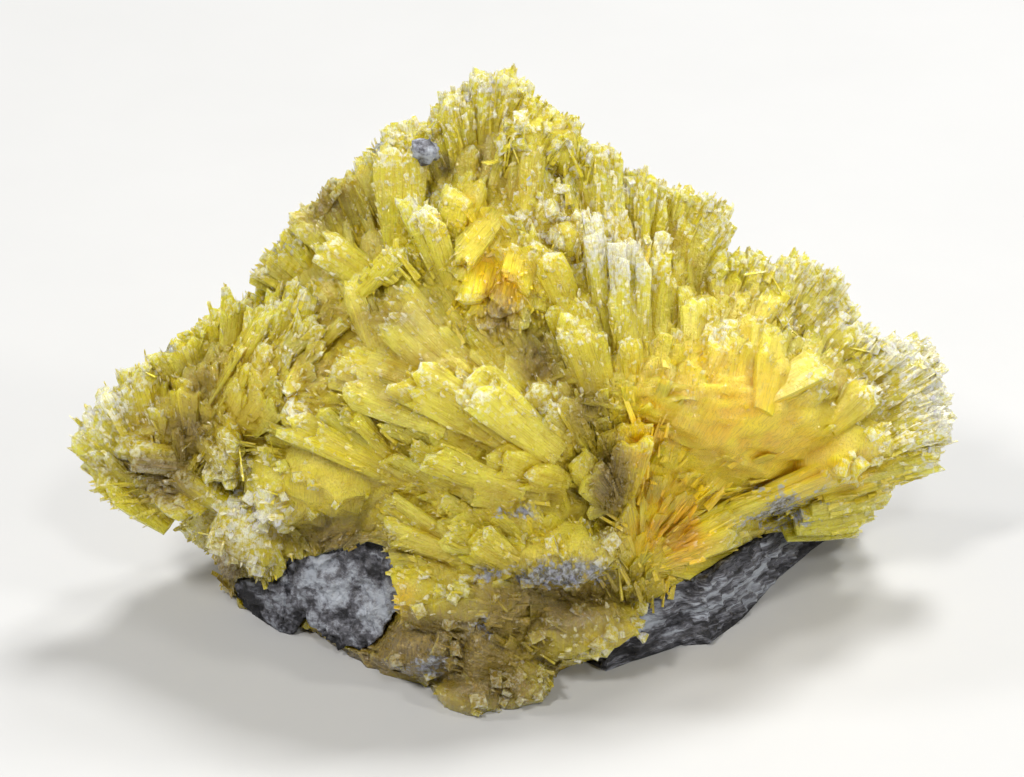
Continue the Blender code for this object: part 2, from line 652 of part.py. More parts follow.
def shells_of(bm):
    """The separate shells of a mesh, each as a list of its vertices."""
    seen = set()
    shells = []
    for first in bm.verts:
        if first in seen:
            continue
        seen.add(first)
        shell = [first]
        for vert in shell:
            for edge in vert.link_edges:
                other = edge.other_vert(vert)
                if other not in seen:
                    seen.add(other)
                    shell.append(other)
        shells.append(shell)
    return shells


# ---------------------------------------------------------------- materials and the specimen

def make_material(name, colour, roughness):
    """A plain finish."""
    material = bpy.data.materials.new(name)
    material.use_nodes = True
    surface = material.node_tree.nodes["Principled BSDF"]
    surface.inputs["Base Color"].default_value = (*colour, 1.0)
    surface.inputs["Roughness"].default_value = roughness
    surface.inputs["Metallic"].default_value = 0.0
    return material


def brucite_material():
    """Translucent lemon to golden crystal."""
    material = make_material("brucite", (0.72, 0.56, 0.10), 0.25)
    surface = material.node_tree.nodes["Principled BSDF"]
    surface.inputs["Transmission Weight"].default_value = 0.3
    surface.inputs["IOR"].default_value = 1.57
    return material


def rock_material():
    """Dark mottled serpentinite."""
    return make_material("host_rock", (0.10, 0.10, 0.11), 0.8)


def build_rocks(ground):
    """The three pieces of rock."""
    material = rock_material()
    shapes = {
        "matrix_slab_right": slab(0.0, 0.0),
        "matrix_patch_left": patch(0.0, 0.0),
        "matrix_chip_top": chip(0.0),
    }
    for name, shape in shapes.items():
        rock = make_object(name, shape, material)
        combine(rock, "DIFFERENCE", object=ground)
        settle(rock)


def rock_rooms():
    """The room that each rock takes up in the crystals, with a gap round it."""
    return [
        guide("slab_room", slab(GAP, SLAB_CLEARANCE)),
        guide("patch_room", patch(GAP, PATCH_CLEARANCE)),
        guide("chip_room", chip(GAP)),
    ]


def build_crystals(ground):
    """All the brucite, as one solid."""
    draw = random.Random(CRYSTAL_SEED)
    body = bmesh.new()
    add_body(body)
    shells = surface_blades(body, draw) + edge_blades(draw) + large_crystals(draw) + masses(draw)
    crystals = make_object("brucite_crystals", body, brucite_material())
    grow_together(crystals, shells)
    thin_out(crystals, KEPT_SHARE)
    settle(crystals)
    for cutter in [ground] + rock_rooms():
        combine(crystals, "DIFFERENCE", object=cutter)
    settle(crystals)


def main():
    for item in list(bpy.data.objects):
        bpy.data.objects.remove(item)
    ground = ground_cutter()
    build_rocks(ground)
    build_crystals(ground)


main()
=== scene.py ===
"""A brucite specimen: sheaves of yellow bladed crystals grown together on remnants of dark host rock.

Lengths are in millimetres until a mesh is made, which is in metres. The front face leans back, so places on
it are given as (across, up, out): across is X, up runs up the leaning face from the foremost point of the
base, and out stands square off that face, towards the front. The body and the larger crystals repeat the
named values of the solids, each large crystal as a stack of thin plates. Thinner plates fill the gaps, small
blocks crust the tips, and splinters lie along every face.
"""

import json
import math
import random
from collections import namedtuple

import bmesh
import bpy
import numpy as np
from mathutils import Matrix, Vector, noise
from mathutils.bvhtree import BVHTree

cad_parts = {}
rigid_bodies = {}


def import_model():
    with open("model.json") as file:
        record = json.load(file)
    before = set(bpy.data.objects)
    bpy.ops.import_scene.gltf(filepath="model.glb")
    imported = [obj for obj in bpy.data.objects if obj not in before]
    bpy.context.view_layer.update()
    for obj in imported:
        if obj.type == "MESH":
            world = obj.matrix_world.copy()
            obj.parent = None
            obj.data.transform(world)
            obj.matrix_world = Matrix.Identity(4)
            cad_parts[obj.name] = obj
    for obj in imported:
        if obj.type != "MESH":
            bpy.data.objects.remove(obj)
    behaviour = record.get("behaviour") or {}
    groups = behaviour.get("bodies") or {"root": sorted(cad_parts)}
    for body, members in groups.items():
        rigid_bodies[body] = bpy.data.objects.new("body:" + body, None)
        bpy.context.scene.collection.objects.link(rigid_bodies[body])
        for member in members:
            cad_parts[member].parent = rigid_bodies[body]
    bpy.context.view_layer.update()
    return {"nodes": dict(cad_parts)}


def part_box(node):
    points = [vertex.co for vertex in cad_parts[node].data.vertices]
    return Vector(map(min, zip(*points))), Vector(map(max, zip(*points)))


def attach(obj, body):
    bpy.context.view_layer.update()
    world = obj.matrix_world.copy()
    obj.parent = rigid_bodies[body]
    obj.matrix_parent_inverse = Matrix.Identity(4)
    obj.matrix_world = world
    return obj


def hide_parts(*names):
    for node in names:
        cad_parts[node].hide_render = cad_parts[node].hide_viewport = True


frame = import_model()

MILLIMETRE = 0.001
GAP = 0.3
CRYSTAL_SEED = 11
DETAIL_SEED = 4
LEAN = math.radians(30)
FRONT_TIP_Y = -23.0
FOOT_Z = -0.4
BURIED_BASE = -3.0
GROUND_BLOCK = (160.0, 160.0, 40.0)

# The body's rim, seen square to the leaning face, clockwise from the left corner of the base. A point with
# no out lies on the ground.
CREST = [
    (-28.5, 10.5, None), (-29.5, 16.0, -15.0), (-31.0, 21.5, -13.0), (-36.0, 25.0, -11.5),
    (-40.5, 28.5, -9.5), (-38.0, 32.0, -9.0), (-32.0, 36.5, -8.0), (-26.5, 40.5, -7.5),
    (-22.0, 45.5, -6.5), (-18.0, 50.0, -5.0),
    (-12.5, 54.5, -3.5), (-8.0, 56.0, -1.5), (-4.0, 60.0, 0.0), (-0.5, 60.0, 0.5), (3.5, 56.5, -1.0),
    (8.0, 53.0, -3.5), (12.5, 50.5, -5.5), (17.0, 48.5, -7.5), (20.5, 43.5, -9.0), (25.5, 42.5, -10.5),
    (29.5, 41.0, -11.5), (33.0, 36.5, -13.0), (38.0, 34.0, -15.0), (40.0, 30.0, -17.0), (38.0, 25.5, -20.0),
    (34.5, 21.5, -24.0), (31.5, 17.5, None),
]
FOOT = [
    (26.0, 13.5, None), (19.5, 8.5, None), (12.0, 6.5, None), (5.5, 5.0, None), (0.0, 2.3, None),
    (-5.5, 1.0, None), (-10.0, 3.8, None), (-15.5, 4.8, None), (-20.0, 7.8, None), (-25.0, 9.0, None),
]
FACE_CENTRE = (0.0, 33.0, 5.0)
FACE_RINGS = 5
FACE_ROUNDNESS = 2.2
RELIEF_FADE = 4.0
# Swellings and hollows of the front face, as (across, up), radius and height.
RELIEF = [
    ((9.5, 23.5), 4.5, -3.5), ((1.0, 38.0), 4.5, -2.0), ((-33.5, 29.0), 4.0, -2.0),
    ((-17.5, 19.0), 4.0, -2.5), ((25.0, 29.0), 10.0, 3.0), ((-25.0, 37.0), 7.0, 2.0),
    ((-8.0, 32.0), 9.0, 2.0), ((9.0, 46.0), 5.0, 1.5), ((16.0, 13.0), 5.0, -3.0), ((24.5, 17.5), 5.0, -3.0),
]
BACK_FOOT = [(-28.5, -2.0), (-30.0, 5.0), (-26.0, 12.0), (-14.0, 18.0), (0.0, 20.0), (14.0, 21.0),
             (26.0, 19.5), (32.0, 16.0), (31.5, 12.0)]
BACK_ROWS = 4
BACK_BULGE = 0.11
BACK_SPREAD = 0.02
BODY_CUTS = 4
BODY_SMOOTHING = 3
BODY_ROUGHNESS = 0.9
BODY_SINKING = 0.2
# The size of the body's ridges across, through and along the sheaf, and the distance from the root at which a
# sheaf's grain has its true width.
RIDGE_SIZE = (0.9, 0.9, 3.5)
GRAIN_DISTANCE = 14.0

# Each front sheaf: the middle of its patch of the face, the patch's radius, the place its blades spread
# from, and how far they lift off the face, as (seat, radius, root, lift).
FRONT_SHEAVES = [
    ((-38.5, 31.0, -8.0), 7.0, (-34.0, 18.0, -14.0), 0.20),
    ((-32.0, 37.0, -6.0), 6.0, (-28.0, 24.0, -12.0), 0.20),
    ((-24.5, 37.0, -2.0), 8.0, (-30.0, 25.0, -8.0), 0.25),
    ((-22.0, 49.0, -5.0), 6.0, (-14.0, 38.0, -6.0), 0.30),
    ((-17.0, 47.0, -2.0), 6.0, (-10.0, 36.0, -6.0), 0.20),
    ((-11.5, 53.0, -1.0), 7.0, (-8.0, 38.0, -5.0), 0.20),
    ((-4.0, 59.0, 1.5), 8.0, (-4.0, 46.0, -3.0), 0.30),
    ((1.0, 49.0, 2.0), 7.0, (3.0, 40.0, -4.0), 0.60),
    ((-2.5, 42.5, 3.0), 6.0, (0.0, 50.0, -3.0), 0.40),
    ((8.0, 49.0, 1.0), 8.0, (9.5, 26.0, -4.0), 0.20),
    ((17.0, 50.0, -6.0), 7.0, (8.0, 30.0, -8.0), 0.20),
    ((10.0, 37.0, 3.0), 8.0, (10.0, 22.0, -3.0), 0.25),
    ((-7.0, 32.0, 4.0), 12.0, (8.0, 22.0, -4.0), 0.35),
    ((-12.0, 25.0, 3.0), 9.0, (6.0, 18.0, -4.0), 0.35),
    ((-20.0, 26.0, 0.0), 8.0, (-8.0, 24.0, -6.0), 0.30),
    ((2.0, 27.0, 5.0), 8.0, (10.0, 22.0, -2.0), 0.25),
    ((16.0, 22.0, 0.0), 9.0, (11.0, 15.0, -6.0), 0.30),
    ((22.0, 32.0, -2.0), 10.0, (11.0, 17.0, -6.0), 0.25),
    ((26.0, 42.0, -8.0), 8.0, (12.0, 18.0, -8.0), 0.25),
    ((37.0, 32.0, -13.0), 9.0, (12.0, 18.0, -10.0), 0.20),
    ((33.0, 24.0, -18.0), 8.0, (12.0, 16.0, -10.0), 0.20),
    ((-2.0, 16.0, 2.0), 9.0, (11.0, 9.0, -5.0), 0.20),
    ((8.0, 11.0, -4.0), 7.0, (16.0, 5.0, -8.0), 0.20),
    ((-4.0, 6.0, -3.0), 8.0, (8.0, 2.0, -8.0), 0.20),
    ((-27.5, 20.0, -9.0), 6.0, (-27.0, 28.0, -12.0), 0.30),
    ((-30.0, 13.0, -15.0), 5.0, (-28.0, 22.0, -14.0), 0.20),
    ((-35.5, 24.0, -11.0), 6.0, (-26.0, 24.0, -14.0), 0.20),
    ((-29.8, 26.0, -8.0), 5.0, (-27.0, 33.0, -11.0), 0.30),
]
# The same for the back, with places as (x, y, z).
BACK_SHEAVES = [
    ((-20.0, 12.0, 30.0), 10.0, (-8.0, 6.0, 14.0), 0.30),
    ((0.0, 15.0, 42.0), 11.0, (0.0, 6.0, 18.0), 0.25),
    ((18.0, 18.0, 30.0), 10.0, (6.0, 8.0, 12.0), 0.30),
    ((32.0, 16.0, 18.0), 9.0, (14.0, 8.0, 10.0), 0.25),
    ((-34.0, 6.0, 20.0), 9.0, (-14.0, 4.0, 14.0), 0.25),
    ((-22.0, 14.0, 8.0), 9.0, (-10.0, 9.0, -5.0), 0.30),
    ((0.0, 20.0, 14.0), 11.0, (2.0, 15.0, -8.0), 0.30),
    ((22.0, 20.0, 8.0), 9.0, (10.0, 13.0, -5.0), 0.30),
]

# The ragged outline, as (across, up), clockwise from the left tip to the lower right.
OUTLINE = [
    (-44.4, 29.6), (-43.4, 31.2), (-42.0, 32.9), (-41.3, 33.5), (-39.3, 34.7), (-38.9, 35.3),
    (-37.9, 35.3), (-37.5, 35.9), (-36.3, 37.1), (-34.5, 38.2), (-33.5, 39.0), (-32.0, 40.0),
    (-30.5, 40.8), (-29.0, 41.7), (-28.0, 43.0), (-26.5, 45.2), (-25.2, 47.0), (-24.5, 48.0),
    (-23.4, 48.7), (-23.2, 49.5), (-22.0, 51.0), (-20.2, 52.0), (-19.3, 53.0), (-18.7, 54.2),
    (-17.5, 55.0), (-16.2, 55.8), (-15.0, 56.2), (-14.2, 57.5), (-13.0, 58.5), (-12.0, 59.5),
    (-11.0, 59.8), (-10.0, 59.6), (-9.2, 58.8), (-8.7, 60.1), (-7.7, 61.3), (-6.6, 62.5), (-5.4, 63.2),
    (-3.8, 64.7), (-3.0, 64.0), (-2.4, 64.2), (-1.4, 63.8), (-0.7, 64.9), (0.4, 63.5), (0.8, 62.2),
    (1.1, 61.0), (2.4, 61.1), (3.9, 60.4), (4.5, 58.9), (5.1, 58.3), (6.2, 57.6), (6.6, 57.2),
    (8.5, 57.5), (10.5, 53.9), (10.9, 55.0), (12.2, 55.0), (12.5, 53.8), (13.5, 53.5), (16.7, 53.0),
    (19.3, 52.2), (20.4, 51.6), (20.7, 50.3), (20.5, 47.5), (20.5, 46.4), (22.1, 47.0), (24.2, 47.1),
    (24.3, 44.9), (25.5, 45.9), (26.5, 45.8), (27.3, 46.3), (28.1, 45.8), (29.1, 46.4), (29.5, 45.2),
    (31.3, 45.3), (31.9, 45.1), (31.8, 43.4), (32.6, 42.9), (32.6, 41.9), (33.7, 41.5), (33.6, 40.2),
    (34.4, 39.8), (35.4, 39.4), (36.1, 38.7), (36.7, 37.8), (38.2, 37.9), (39.2, 37.5), (41.0, 37.9),
    (42.0, 37.2), (42.7, 36.6), (42.9, 34.9), (43.5, 33.1), (42.5, 31.3), (43.2, 31.1), (44.2, 30.4),
    (43.9, 29.2), (43.0, 27.9), (43.1, 27.6), (42.6, 26.5), (39.9, 24.9), (38.6, 23.3), (37.5, 22.6),
    (36.5, 21.8), (36.3, 21.0), (35.3, 19.7),
    (-41.8, 24.8), (-43.0, 25.9), (-43.7, 27.4), (-39.6, 24.2),
]
EDGE_WIDTH = (1.8, 4.2)
EDGE_THICKNESS = (0.8, 1.6)
EDGE_BLOCKS = 2
EDGE_LENGTH = 9.0
EDGE_REACH = 0.9
EDGE_TURN = 0.7
EDGE_SETBACK = (0.4, 2.0)
# At each tip of the outline, the shares of the setback and how far out its crystals stand.
EDGE_ROWS = [(0.0, 0.0), (0.5, 1.4), (0.5, -1.4)]
EDGE_BLOCK_SETBACK = (0.3, 1.2)
EDGE_BLOCK_OUT = (-0.5, 0.9)

# Large crystals that stand out, as (root, tip, width, thickness).
LARGE_CRYSTALS = [
    ((-11.0, 45.5, 0.5), (-11.8, 57.4, 1.0), 5.4, 1.8),
    ((-6.0, 41.0, 1.5), (-10.3, 52.2, 4.6), 3.8, 3.0),
    ((-16.0, 42.0, 1.0), (-11.4, 46.6, 4.6), 2.8, 1.8),
    ((-9.5, 40.5, -1.0), (-20.5, 47.2, 0.0), 3.6, 1.8),
    ((-16.5, 45.0, -4.0), (-22.6, 50.6, -3.5), 3.2, 2.0),
    ((9.8, 42.0, -2.0), (7.4, 57.4, -1.0), 3.4, 1.4),
    ((12.3, 43.0, -2.0), (11.6, 55.0, -2.5), 1.5, 1.3),
    ((15.5, 41.0, -6.0), (17.0, 52.9, -6.0), 7.2, 1.8),
    ((10.0, 29.0, 0.5), (7.3, 50.6, 3.8), 2.6, 1.6),
    ((10.5, 29.0, 1.0), (9.7, 47.6, 4.8), 2.0, 1.6),
    ((11.3, 29.0, 0.5), (12.0, 47.9, 3.6), 2.0, 1.6),
    ((12.0, 30.0, -0.5), (14.4, 48.6, 1.6), 2.4, 1.6),
    ((-2.0, 25.5, 1.5), (-8.8, 35.4, 7.2), 2.8, 1.8),
    ((-15.0, 28.5, -1.0), (-18.2, 36.3, 3.4), 2.0, 1.6),
    ((-9.0, 23.0, 0.0), (-16.9, 32.0, 5.4), 2.8, 1.8),
    ((-20.5, 38.0, -2.5), (-22.7, 30.4, 3.4), 2.2, 2.0),
    ((-20.0, 24.4, -10.5), (-42.0, 26.1, -9.7), 3.3, 4.0),
    ((-29.0, 24.8, -12.0), (-36.4, 21.2, -9.5), 5.2, 2.0),
    ((-26.5, 31.0, -10.0), (-30.4, 23.2, -5.2), 3.6, 2.0),
    ((-2.5, 48.0, 0.5), (-4.1, 39.4, 5.4), 3.8, 3.0),
    ((-0.5, 48.0, 0.5), (-0.8, 38.2, 5.2), 3.6, 3.0),
    ((2.5, 48.0, 0.0), (1.8, 41.0, 4.8), 3.6, 3.0),
    ((-27.5, 29.0, -7.0), (-25.2, 43.4, -3.4), 2.2, 1.6),
    ((-25.5, 29.0, -6.0), (-22.6, 43.8, -2.0), 2.4, 1.6),
    ((-23.5, 30.0, -5.0), (-20.2, 42.8, 0.2), 2.4, 1.6),
    ((-22.0, 30.5, -4.0), (-19.6, 39.2, 1.4), 2.0, 1.4),
]

# Rounded or blocky masses, as (centre, half extents), both in (across, up, out).
MASSES = [
    ((-27.0, 19.4, -10.5), (4.2, 3.9, 3.8)),
    ((-17.8, 25.4, -4.5), (6.2, 5.4, 5.6)),
    ((-22.8, 24.6, -6.5), (4.8, 5.4, 4.8)),
    ((-5.0, 2.6, -4.6), (3.6, 2.4, 4.0)),
    ((-0.6, 3.6, -5.2), (3.8, 2.6, 4.4)),
    ((1.0, 50.6, -1.0), (4.0, 3.6, 4.2)),
    ((4.0, 47.6, -1.0), (3.2, 3.4, 4.0)),
    ((0.6, 57.6, -0.6), (3.0, 3.4, 3.8)),
    ((3.6, 57.0, -1.4), (2.4, 3.0, 3.2)),
    ((31.0, 27.5, -13.0), (6.0, 4.0, 5.4)),
    ((-6.5, 12.6, -1.6), (7.6, 3.6, 3.8)),
    ((2.5, 16.8, 0.0), (6.8, 3.2, 3.4)),
    ((4.5, 9.6, -4.6), (7.2, 3.2, 3.8)),
    ((-8.0, 7.6, -4.4), (6.6, 2.8, 3.8)),
]
MASS_DETAIL = 3
MASS_ROUGHNESS = 0.256
MASS_WEATHERING = 1.6
# Small blocky crystals crust the tips and the masses: their sizes and proportions, how many at most for each
# tip and mass, and how far back from a tip they sit. On the back they keep to the heights.
BLOCK_SIZE = (0.35, 0.9)
BLOCK_SHAPE = (0.6, 1.2)
BLOCK_UNEVENNESS = (0.75, 1.25)
TIP_BLOCKS = 4
MASS_BLOCKS = 45
MASS_BLOCK_SIZE = (0.5, 1.5)
CRUST_REACH = 0.8
CRUST_HEIGHT = 30.0

# Places on the front where the growth is massive, without large blades, as ((across, up), radius).
MASSIVE = [
    ((-2.0, 11.0), 9.0), ((-9.0, 5.0), 6.0), ((8.0, 8.5), 6.5), ((15.5, 18.5), 6.0), ((21.0, 30.5), 6.0),
    ((31.0, 24.5), 6.0), ((-27.0, 19.5), 5.0), ((-19.0, 22.5), 6.0), ((-17.5, 17.0), 4.0),
    ((13.0, 26.0), 4.0),
]
# Places where the growth is smooth and glassy, with few fine blades, as ((across, up), radius, how smooth).
SMOOTH = [
    ((21.5, 29.0), 5.5, 0.95), ((30.0, 27.5), 6.0, 0.85), ((26.0, 34.5), 4.0, 0.70),
    ((-19.0, 24.0), 5.5, 0.80), ((2.0, 24.5), 4.5, 0.75), ((-11.5, 52.0), 3.0, 0.80),
    ((17.0, 50.0), 3.5, 0.75), ((-1.0, 58.5), 4.0, 0.60), ((-17.5, 45.8), 3.0, 0.70),
    ((-27.0, 19.5), 4.0, 0.60), ((-4.5, 30.0), 3.0, 0.60),
]
SMOOTH_FRONT_Y = 2.0
BLADE_SPACING = 6.0
BLADE_WIDTH = (3.6, 5.6)
BLADE_THICKNESS = (2.0, 3.0)
BLADE_LENGTH = (11.0, 17.0)
BLADE_RISE = (0.8, 1.9)
BLADE_SLANT = 0.8
# A large crystal is a stack of plates. Each plate's end steps back a little, by no more than a share of its
# length.
LAYER_THICKNESS = 0.95
LAYER_OVERLAP = 1.6
LAYER_STEP = (0.3, 2.0)
MOST_STEPPING = 0.4
LAYER_WIDTH = (0.62, 1.0)
LAYER_SWING = 0.05
LAYER_SHIFT = 0.16
ROOT_TAPER = 0.6
# A plate's columns, how uneven its faces are, and the shape of its end.
COLUMN_WIDTH = 0.75
RIDGES = (0.30, 0.55)
KEEL = (0.35, 0.5)
EDGE_THINNING = 0.55
END_SLANT = 0.45
SHOULDER = 0.12
RAGGEDNESS = 1.5
MOST_RAGGED = 0.25
CHISEL = (0.15, 1.1)
MOST_CHISEL = 0.3
# Its rings along the length, as (share of the length, of the width and of the thickness).
PLATE_RINGS = [(0.0, 0.55, 0.6), (0.55, 0.88, 1.0)]
TIP_THICKNESS = 0.40
SHORT_RUN = 6.0
SPREADING_TRIES = 1500
# How far from the grain's own origin a crystal's grain starts, so that no two look alike.
GRAIN_RANGE = 50.0
SHORTEST_BLADE = 4.0
SHORTENING = 0.85
FLATNESS = 0.55
STEEPENING = (0.0, 0.12, 0.3, 0.7)
ROOT_DEPTH = 0.3
ROCK_MARGIN = 1.0
LOWEST_BLADE_Z = 2.5

FINE_SPACING = 1.8
FINE_COUNT = 9000
FINE_WIDTH = (1.2, 3.8)
FINE_THICKNESS = (0.4, 1.0)
FINE_LENGTH = (6.0, 14.0)
FINE_RISE = (0.0, 0.9)
FINE_STRAY = 0.06
FINE_TURN = 0.35
BACK_SHARE = 0.6
MASSIVE_SCALE = 0.5
FINE_LOWEST_Z = 0.6
SHORTEST_FINE_BLADE = 1.5

# Splinters lie along every crystal face and stand on the tips.
SPLINTER_COUNT = 12500
SPLINTER_WIDTH = (0.35, 1.2)
SPLINTER_THICKNESS = (0.14, 0.40)
SPLINTER_LENGTH = (1.2, 4.0)
SPLINTER_LIFT = (0.03, 0.15)
SPLINTER_REACH = (0.0, 0.2)
SPLINTER_STRAY = 0.07
SPLINTER_TURN = 4.0
SPLINTER_RIDGE = 0.3
# A splinter's ends, as (share of the length, of the width and thickness, and how uneven).
SPLINTER_ENDS = [(0.0, 0.8, 0.0), (1.0, 0.55, 0.4)]
LOWEST_SPLINTER_Z = 0.5
BACK_SPLINTERS = 0.45
BACK_FACING = -0.2
# Where a splinter stands up more steeply than this, it reaches only this far out of the face.
STEEP = 0.5
STEEP_REACH = 0.15

# The slab's stations from left to right, as (across, up of its foot, height, depth).
SLAB_STATIONS = [
    (6.6, 5.2, 1.2, 3.0), (8.6, 4.6, 3.4, 6.0), (12.0, 5.4, 5.6, 8.5), (16.2, 7.0, 6.2, 10.0),
    (19.0, 6.8, 7.2, 11.5), (22.8, 9.6, 6.8, 11.0), (26.8, 13.2, 5.2, 9.5), (30.2, 16.0, 4.6, 8.0),
    (33.2, 17.6, 3.0, 5.0),
]
# The slab's front profile, from the ground up, as (fraction of the height, how far back it sits).
SLAB_PROFILE = [(0.14, 0.0), (0.40, 1.3), (0.62, 0.7), (1.0, 2.0)]
SLAB_BACK_HEIGHT = 0.55
SLAB_FULL_HEIGHT = 6.0
SLAB_WOBBLE = 0.35
SLAB_UNDERCUT = 0.5
SLAB_CLEARANCE = 5.0
# The patch's face, as (across, up, out), clockwise from its left end.
PATCH_FACE = [
    (-29.0, 11.8, -17.2), (-28.4, 13.8, -15.0), (-25.4, 13.0, -12.0), (-23.6, 14.3, -10.2),
    (-23.0, 15.8, -9.2), (-20.4, 15.7, -7.6), (-16.9, 17.3, -5.6), (-15.0, 18.4, -4.6),
    (-13.3, 17.9, -4.0), (-12.2, 15.0, -4.2),
    (-11.8, 11.5, -5.4), (-13.8, 8.5, -7.0), (-15.4, 6.9, -8.6), (-18.2, 7.0, -10.0), (-19.2, 9.4, -10.2),
    (-21.6, 9.8, -11.8), (-22.5, 8.5, -13.6), (-24.2, 7.9, -15.0), (-27.2, 10.1, -17.6),
]
PATCH_BACK_Y = 2.0
PATCH_CLEARANCE = 12.0
# Each rock's node, with how far its pale clouds are drawn out into streaks.
ROCKS = {"matrix_slab_right": 3.2, "matrix_patch_left": 1.2, "matrix_chip_top": 1.2}
FOLIATION = math.radians(43)
ROCK_EDGE = 0.55
ROCK_CUTS = 6
ROCK_ROUGHNESS = 0.63
ROCK_SINKING = 0.1
ROCK_FOOT = 0.2
ROCK_LOWEST = 0.02
ROCK_BAND = 0.2

# Patches of colour on the front, as (across, up), radii across and up, and strength.
AMBER = [
    ((15.5, 18.5), (5.5, 6.0), 0.99), ((12.0, 28.0), (3.5, 8.0), 0.70), ((22.0, 29.0), (9.0, 6.0), 0.72),
    ((31.0, 24.5), (8.0, 4.5), 0.60), ((-2.5, 43.0), (4.2, 4.8), 0.95), ((-5.0, 50.5), (3.0, 3.0), 0.45),
    ((-19.0, 23.0), (6.0, 6.0), 0.40), ((-12.0, 12.0), (2.0, 4.0), 0.60), ((20.0, 36.0), (7.0, 4.5), 0.45),
    ((-36.0, 22.5), (3.0, 2.0), 0.55), ((2.0, 17.0), (5.0, 3.0), 0.40), ((8.0, 9.0), (4.0, 3.0), 0.40),
]
# The olive patches are partly the crystal's own olive colour and partly painted shade, laid on recesses and
# on the lower, shaded parts of the front.
OLIVE_AND_SHADE = [
    ((-2.0, 40.0), (2.4, 3.0), 0.60), ((2.0, 36.0), (2.6, 3.0), 0.70), ((6.5, 31.5), (2.4, 3.0), 0.55),
    ((9.0, 24.0), (2.4, 5.0), 0.90), ((4.0, 12.0), (10.0, 5.0), 0.75), ((-9.0, 8.0), (8.0, 3.6), 0.90),
    ((-18.0, 18.0), (5.5, 2.6), 0.80), ((-31.5, 34.0), (2.4, 2.6), 0.60), ((-33.0, 29.0), (3.0, 2.0), 0.85),
    ((-36.5, 25.4), (6.5, 1.4), 0.85), ((-35.7, 23.0), (3.2, 1.8), 0.80), ((-30.5, 13.0), (3.4, 5.0), 0.97),
    ((-18.0, 6.0), (8.0, 2.4), 0.90), ((-19.0, 51.5), (5.0, 3.6), 0.60), ((-2.5, 3.5), (7.0, 3.5), 0.75),
    ((31.0, 43.0), (3.0, 2.5), 0.40), ((-12.0, 40.0), (5.5, 1.6), 0.45),
    ((-8.0, 55.0), (1.8, 1.2), 0.70), ((-26.0, 45.0), (3.5, 3.0), 0.35), ((12.5, 40.0), (1.2, 6.0), 0.25),
]
# The pale patches are partly paler crystal and partly a painted highlight, whitened where the crystals
# sparkle.
PALE_AND_HIGHLIGHT = [
    ((9.0, 47.0), (4.5, 8.0), 0.75), ((-4.0, 61.5), (5.0, 4.5), 0.60), ((-9.0, 51.5), (2.0, 2.0), 0.60),
    ((2.0, 49.5), (4.0, 3.6), 0.60), ((-27.0, 19.5), (3.8, 4.0), 0.95), ((-40.0, 31.0), (5.0, 4.0), 0.75),
    ((-29.5, 25.8), (2.4, 2.6), 0.65), ((-23.0, 38.0), (4.0, 5.0), 0.45), ((38.0, 35.0), (5.0, 4.5), 0.90),
    ((42.0, 31.0), (3.6, 5.0), 0.95), ((28.0, 44.0), (5.0, 2.6), 0.35), ((-2.5, 2.4), (6.0, 2.2), 0.25),
    ((2.0, 31.5), (4.0, 3.6), 0.45), ((-6.5, 33.0), (3.0, 3.0), 0.40), ((19.0, 49.0), (3.6, 3.6), 0.40),
    ((-22.0, 31.5), (1.6, 1.6), 0.80), ((-14.0, 57.5), (4.0, 1.8), 0.50), ((20.0, 38.5), (2.6, 1.6), 0.80),
    ((30.0, 40.0), (4.5, 1.8), 0.70), ((29.5, 33.2), (1.6, 2.0), 0.80), ((17.0, 33.0), (1.4, 3.0), 0.50),
    ((36.5, 28.5), (1.5, 1.5), 0.50),
]
ROCKY = [
    ((26.2, 20.7), (4.0, 2.8), 0.95), ((2.8, 14.7), (7.0, 1.5), 0.85), ((-3.2, 9.3), (1.5, 1.5), 0.70),
    ((-9.6, 5.6), (3.0, 1.5), 0.80), ((-23.9, 47.3), (1.3, 0.9), 0.95), ((-13.9, 56.9), (0.9, 0.7), 0.80),
    ((1.5, 53.8), (0.9, 0.4), 0.90), ((12.9, 53.0), (0.6, 1.1), 0.95), ((-35.2, 37.3), (1.0, 0.5), 0.90),
    ((-1.0, 21.0), (3.2, 1.4), 0.50),
]
# The patches fade out behind the front, over a distance from a place this far out.
FRONT_FROM = -24.0
FRONT_FADE = 8.0

# Colours, as pairs from the deeper to the paler where there are two.
LEMON = ((0.68, 0.54, 0.002), (0.95, 0.86, 0.04))
GOLDEN = ((0.95, 0.50, 0.001), (1.0, 0.74, 0.003))
DEEP_AMBER = (0.60, 0.25, 0.002)
VARIED = ((0.60, 0.43, 0.002), (0.96, 0.91, 0.18))
# Painted shade: the darker colour laid where a place lies low between the blades.
HOLLOW_PAINTED_SHADE = (0.48, 0.31, 0.003)
# Painted shade, partly real colour: the dull dark tone that the olive patches take on.
BROWN_AND_SHADE = ((0.08, 0.052, 0.010), (0.34, 0.235, 0.036))
# Painted highlight, partly real paleness: the near white laid on tips, pale patches and places that stand
# out.
PALE_TIP_AND_HIGHLIGHT = (0.99, 0.97, 0.76)
DARK_LINE = (0.42, 0.27, 0.010)
SPECK_GREY = ((0.06, 0.06, 0.07), (0.40, 0.43, 0.50))
ROCK_DARK = ((0.012, 0.012, 0.015), (0.13, 0.13, 0.15))
ROCK_CLOUD = (0.40, 0.43, 0.48)
PAPER = ((0.46, 0.46, 0.455), (0.49, 0.49, 0.485))
DAYLIGHT = (1.0, 0.99, 0.97, 1.0)
DAYLIGHT_STRENGTH = 0.16

FLOOR_SIZE = 3.0
LIGHT_TARGET = (0.0, 0.0, 0.025)
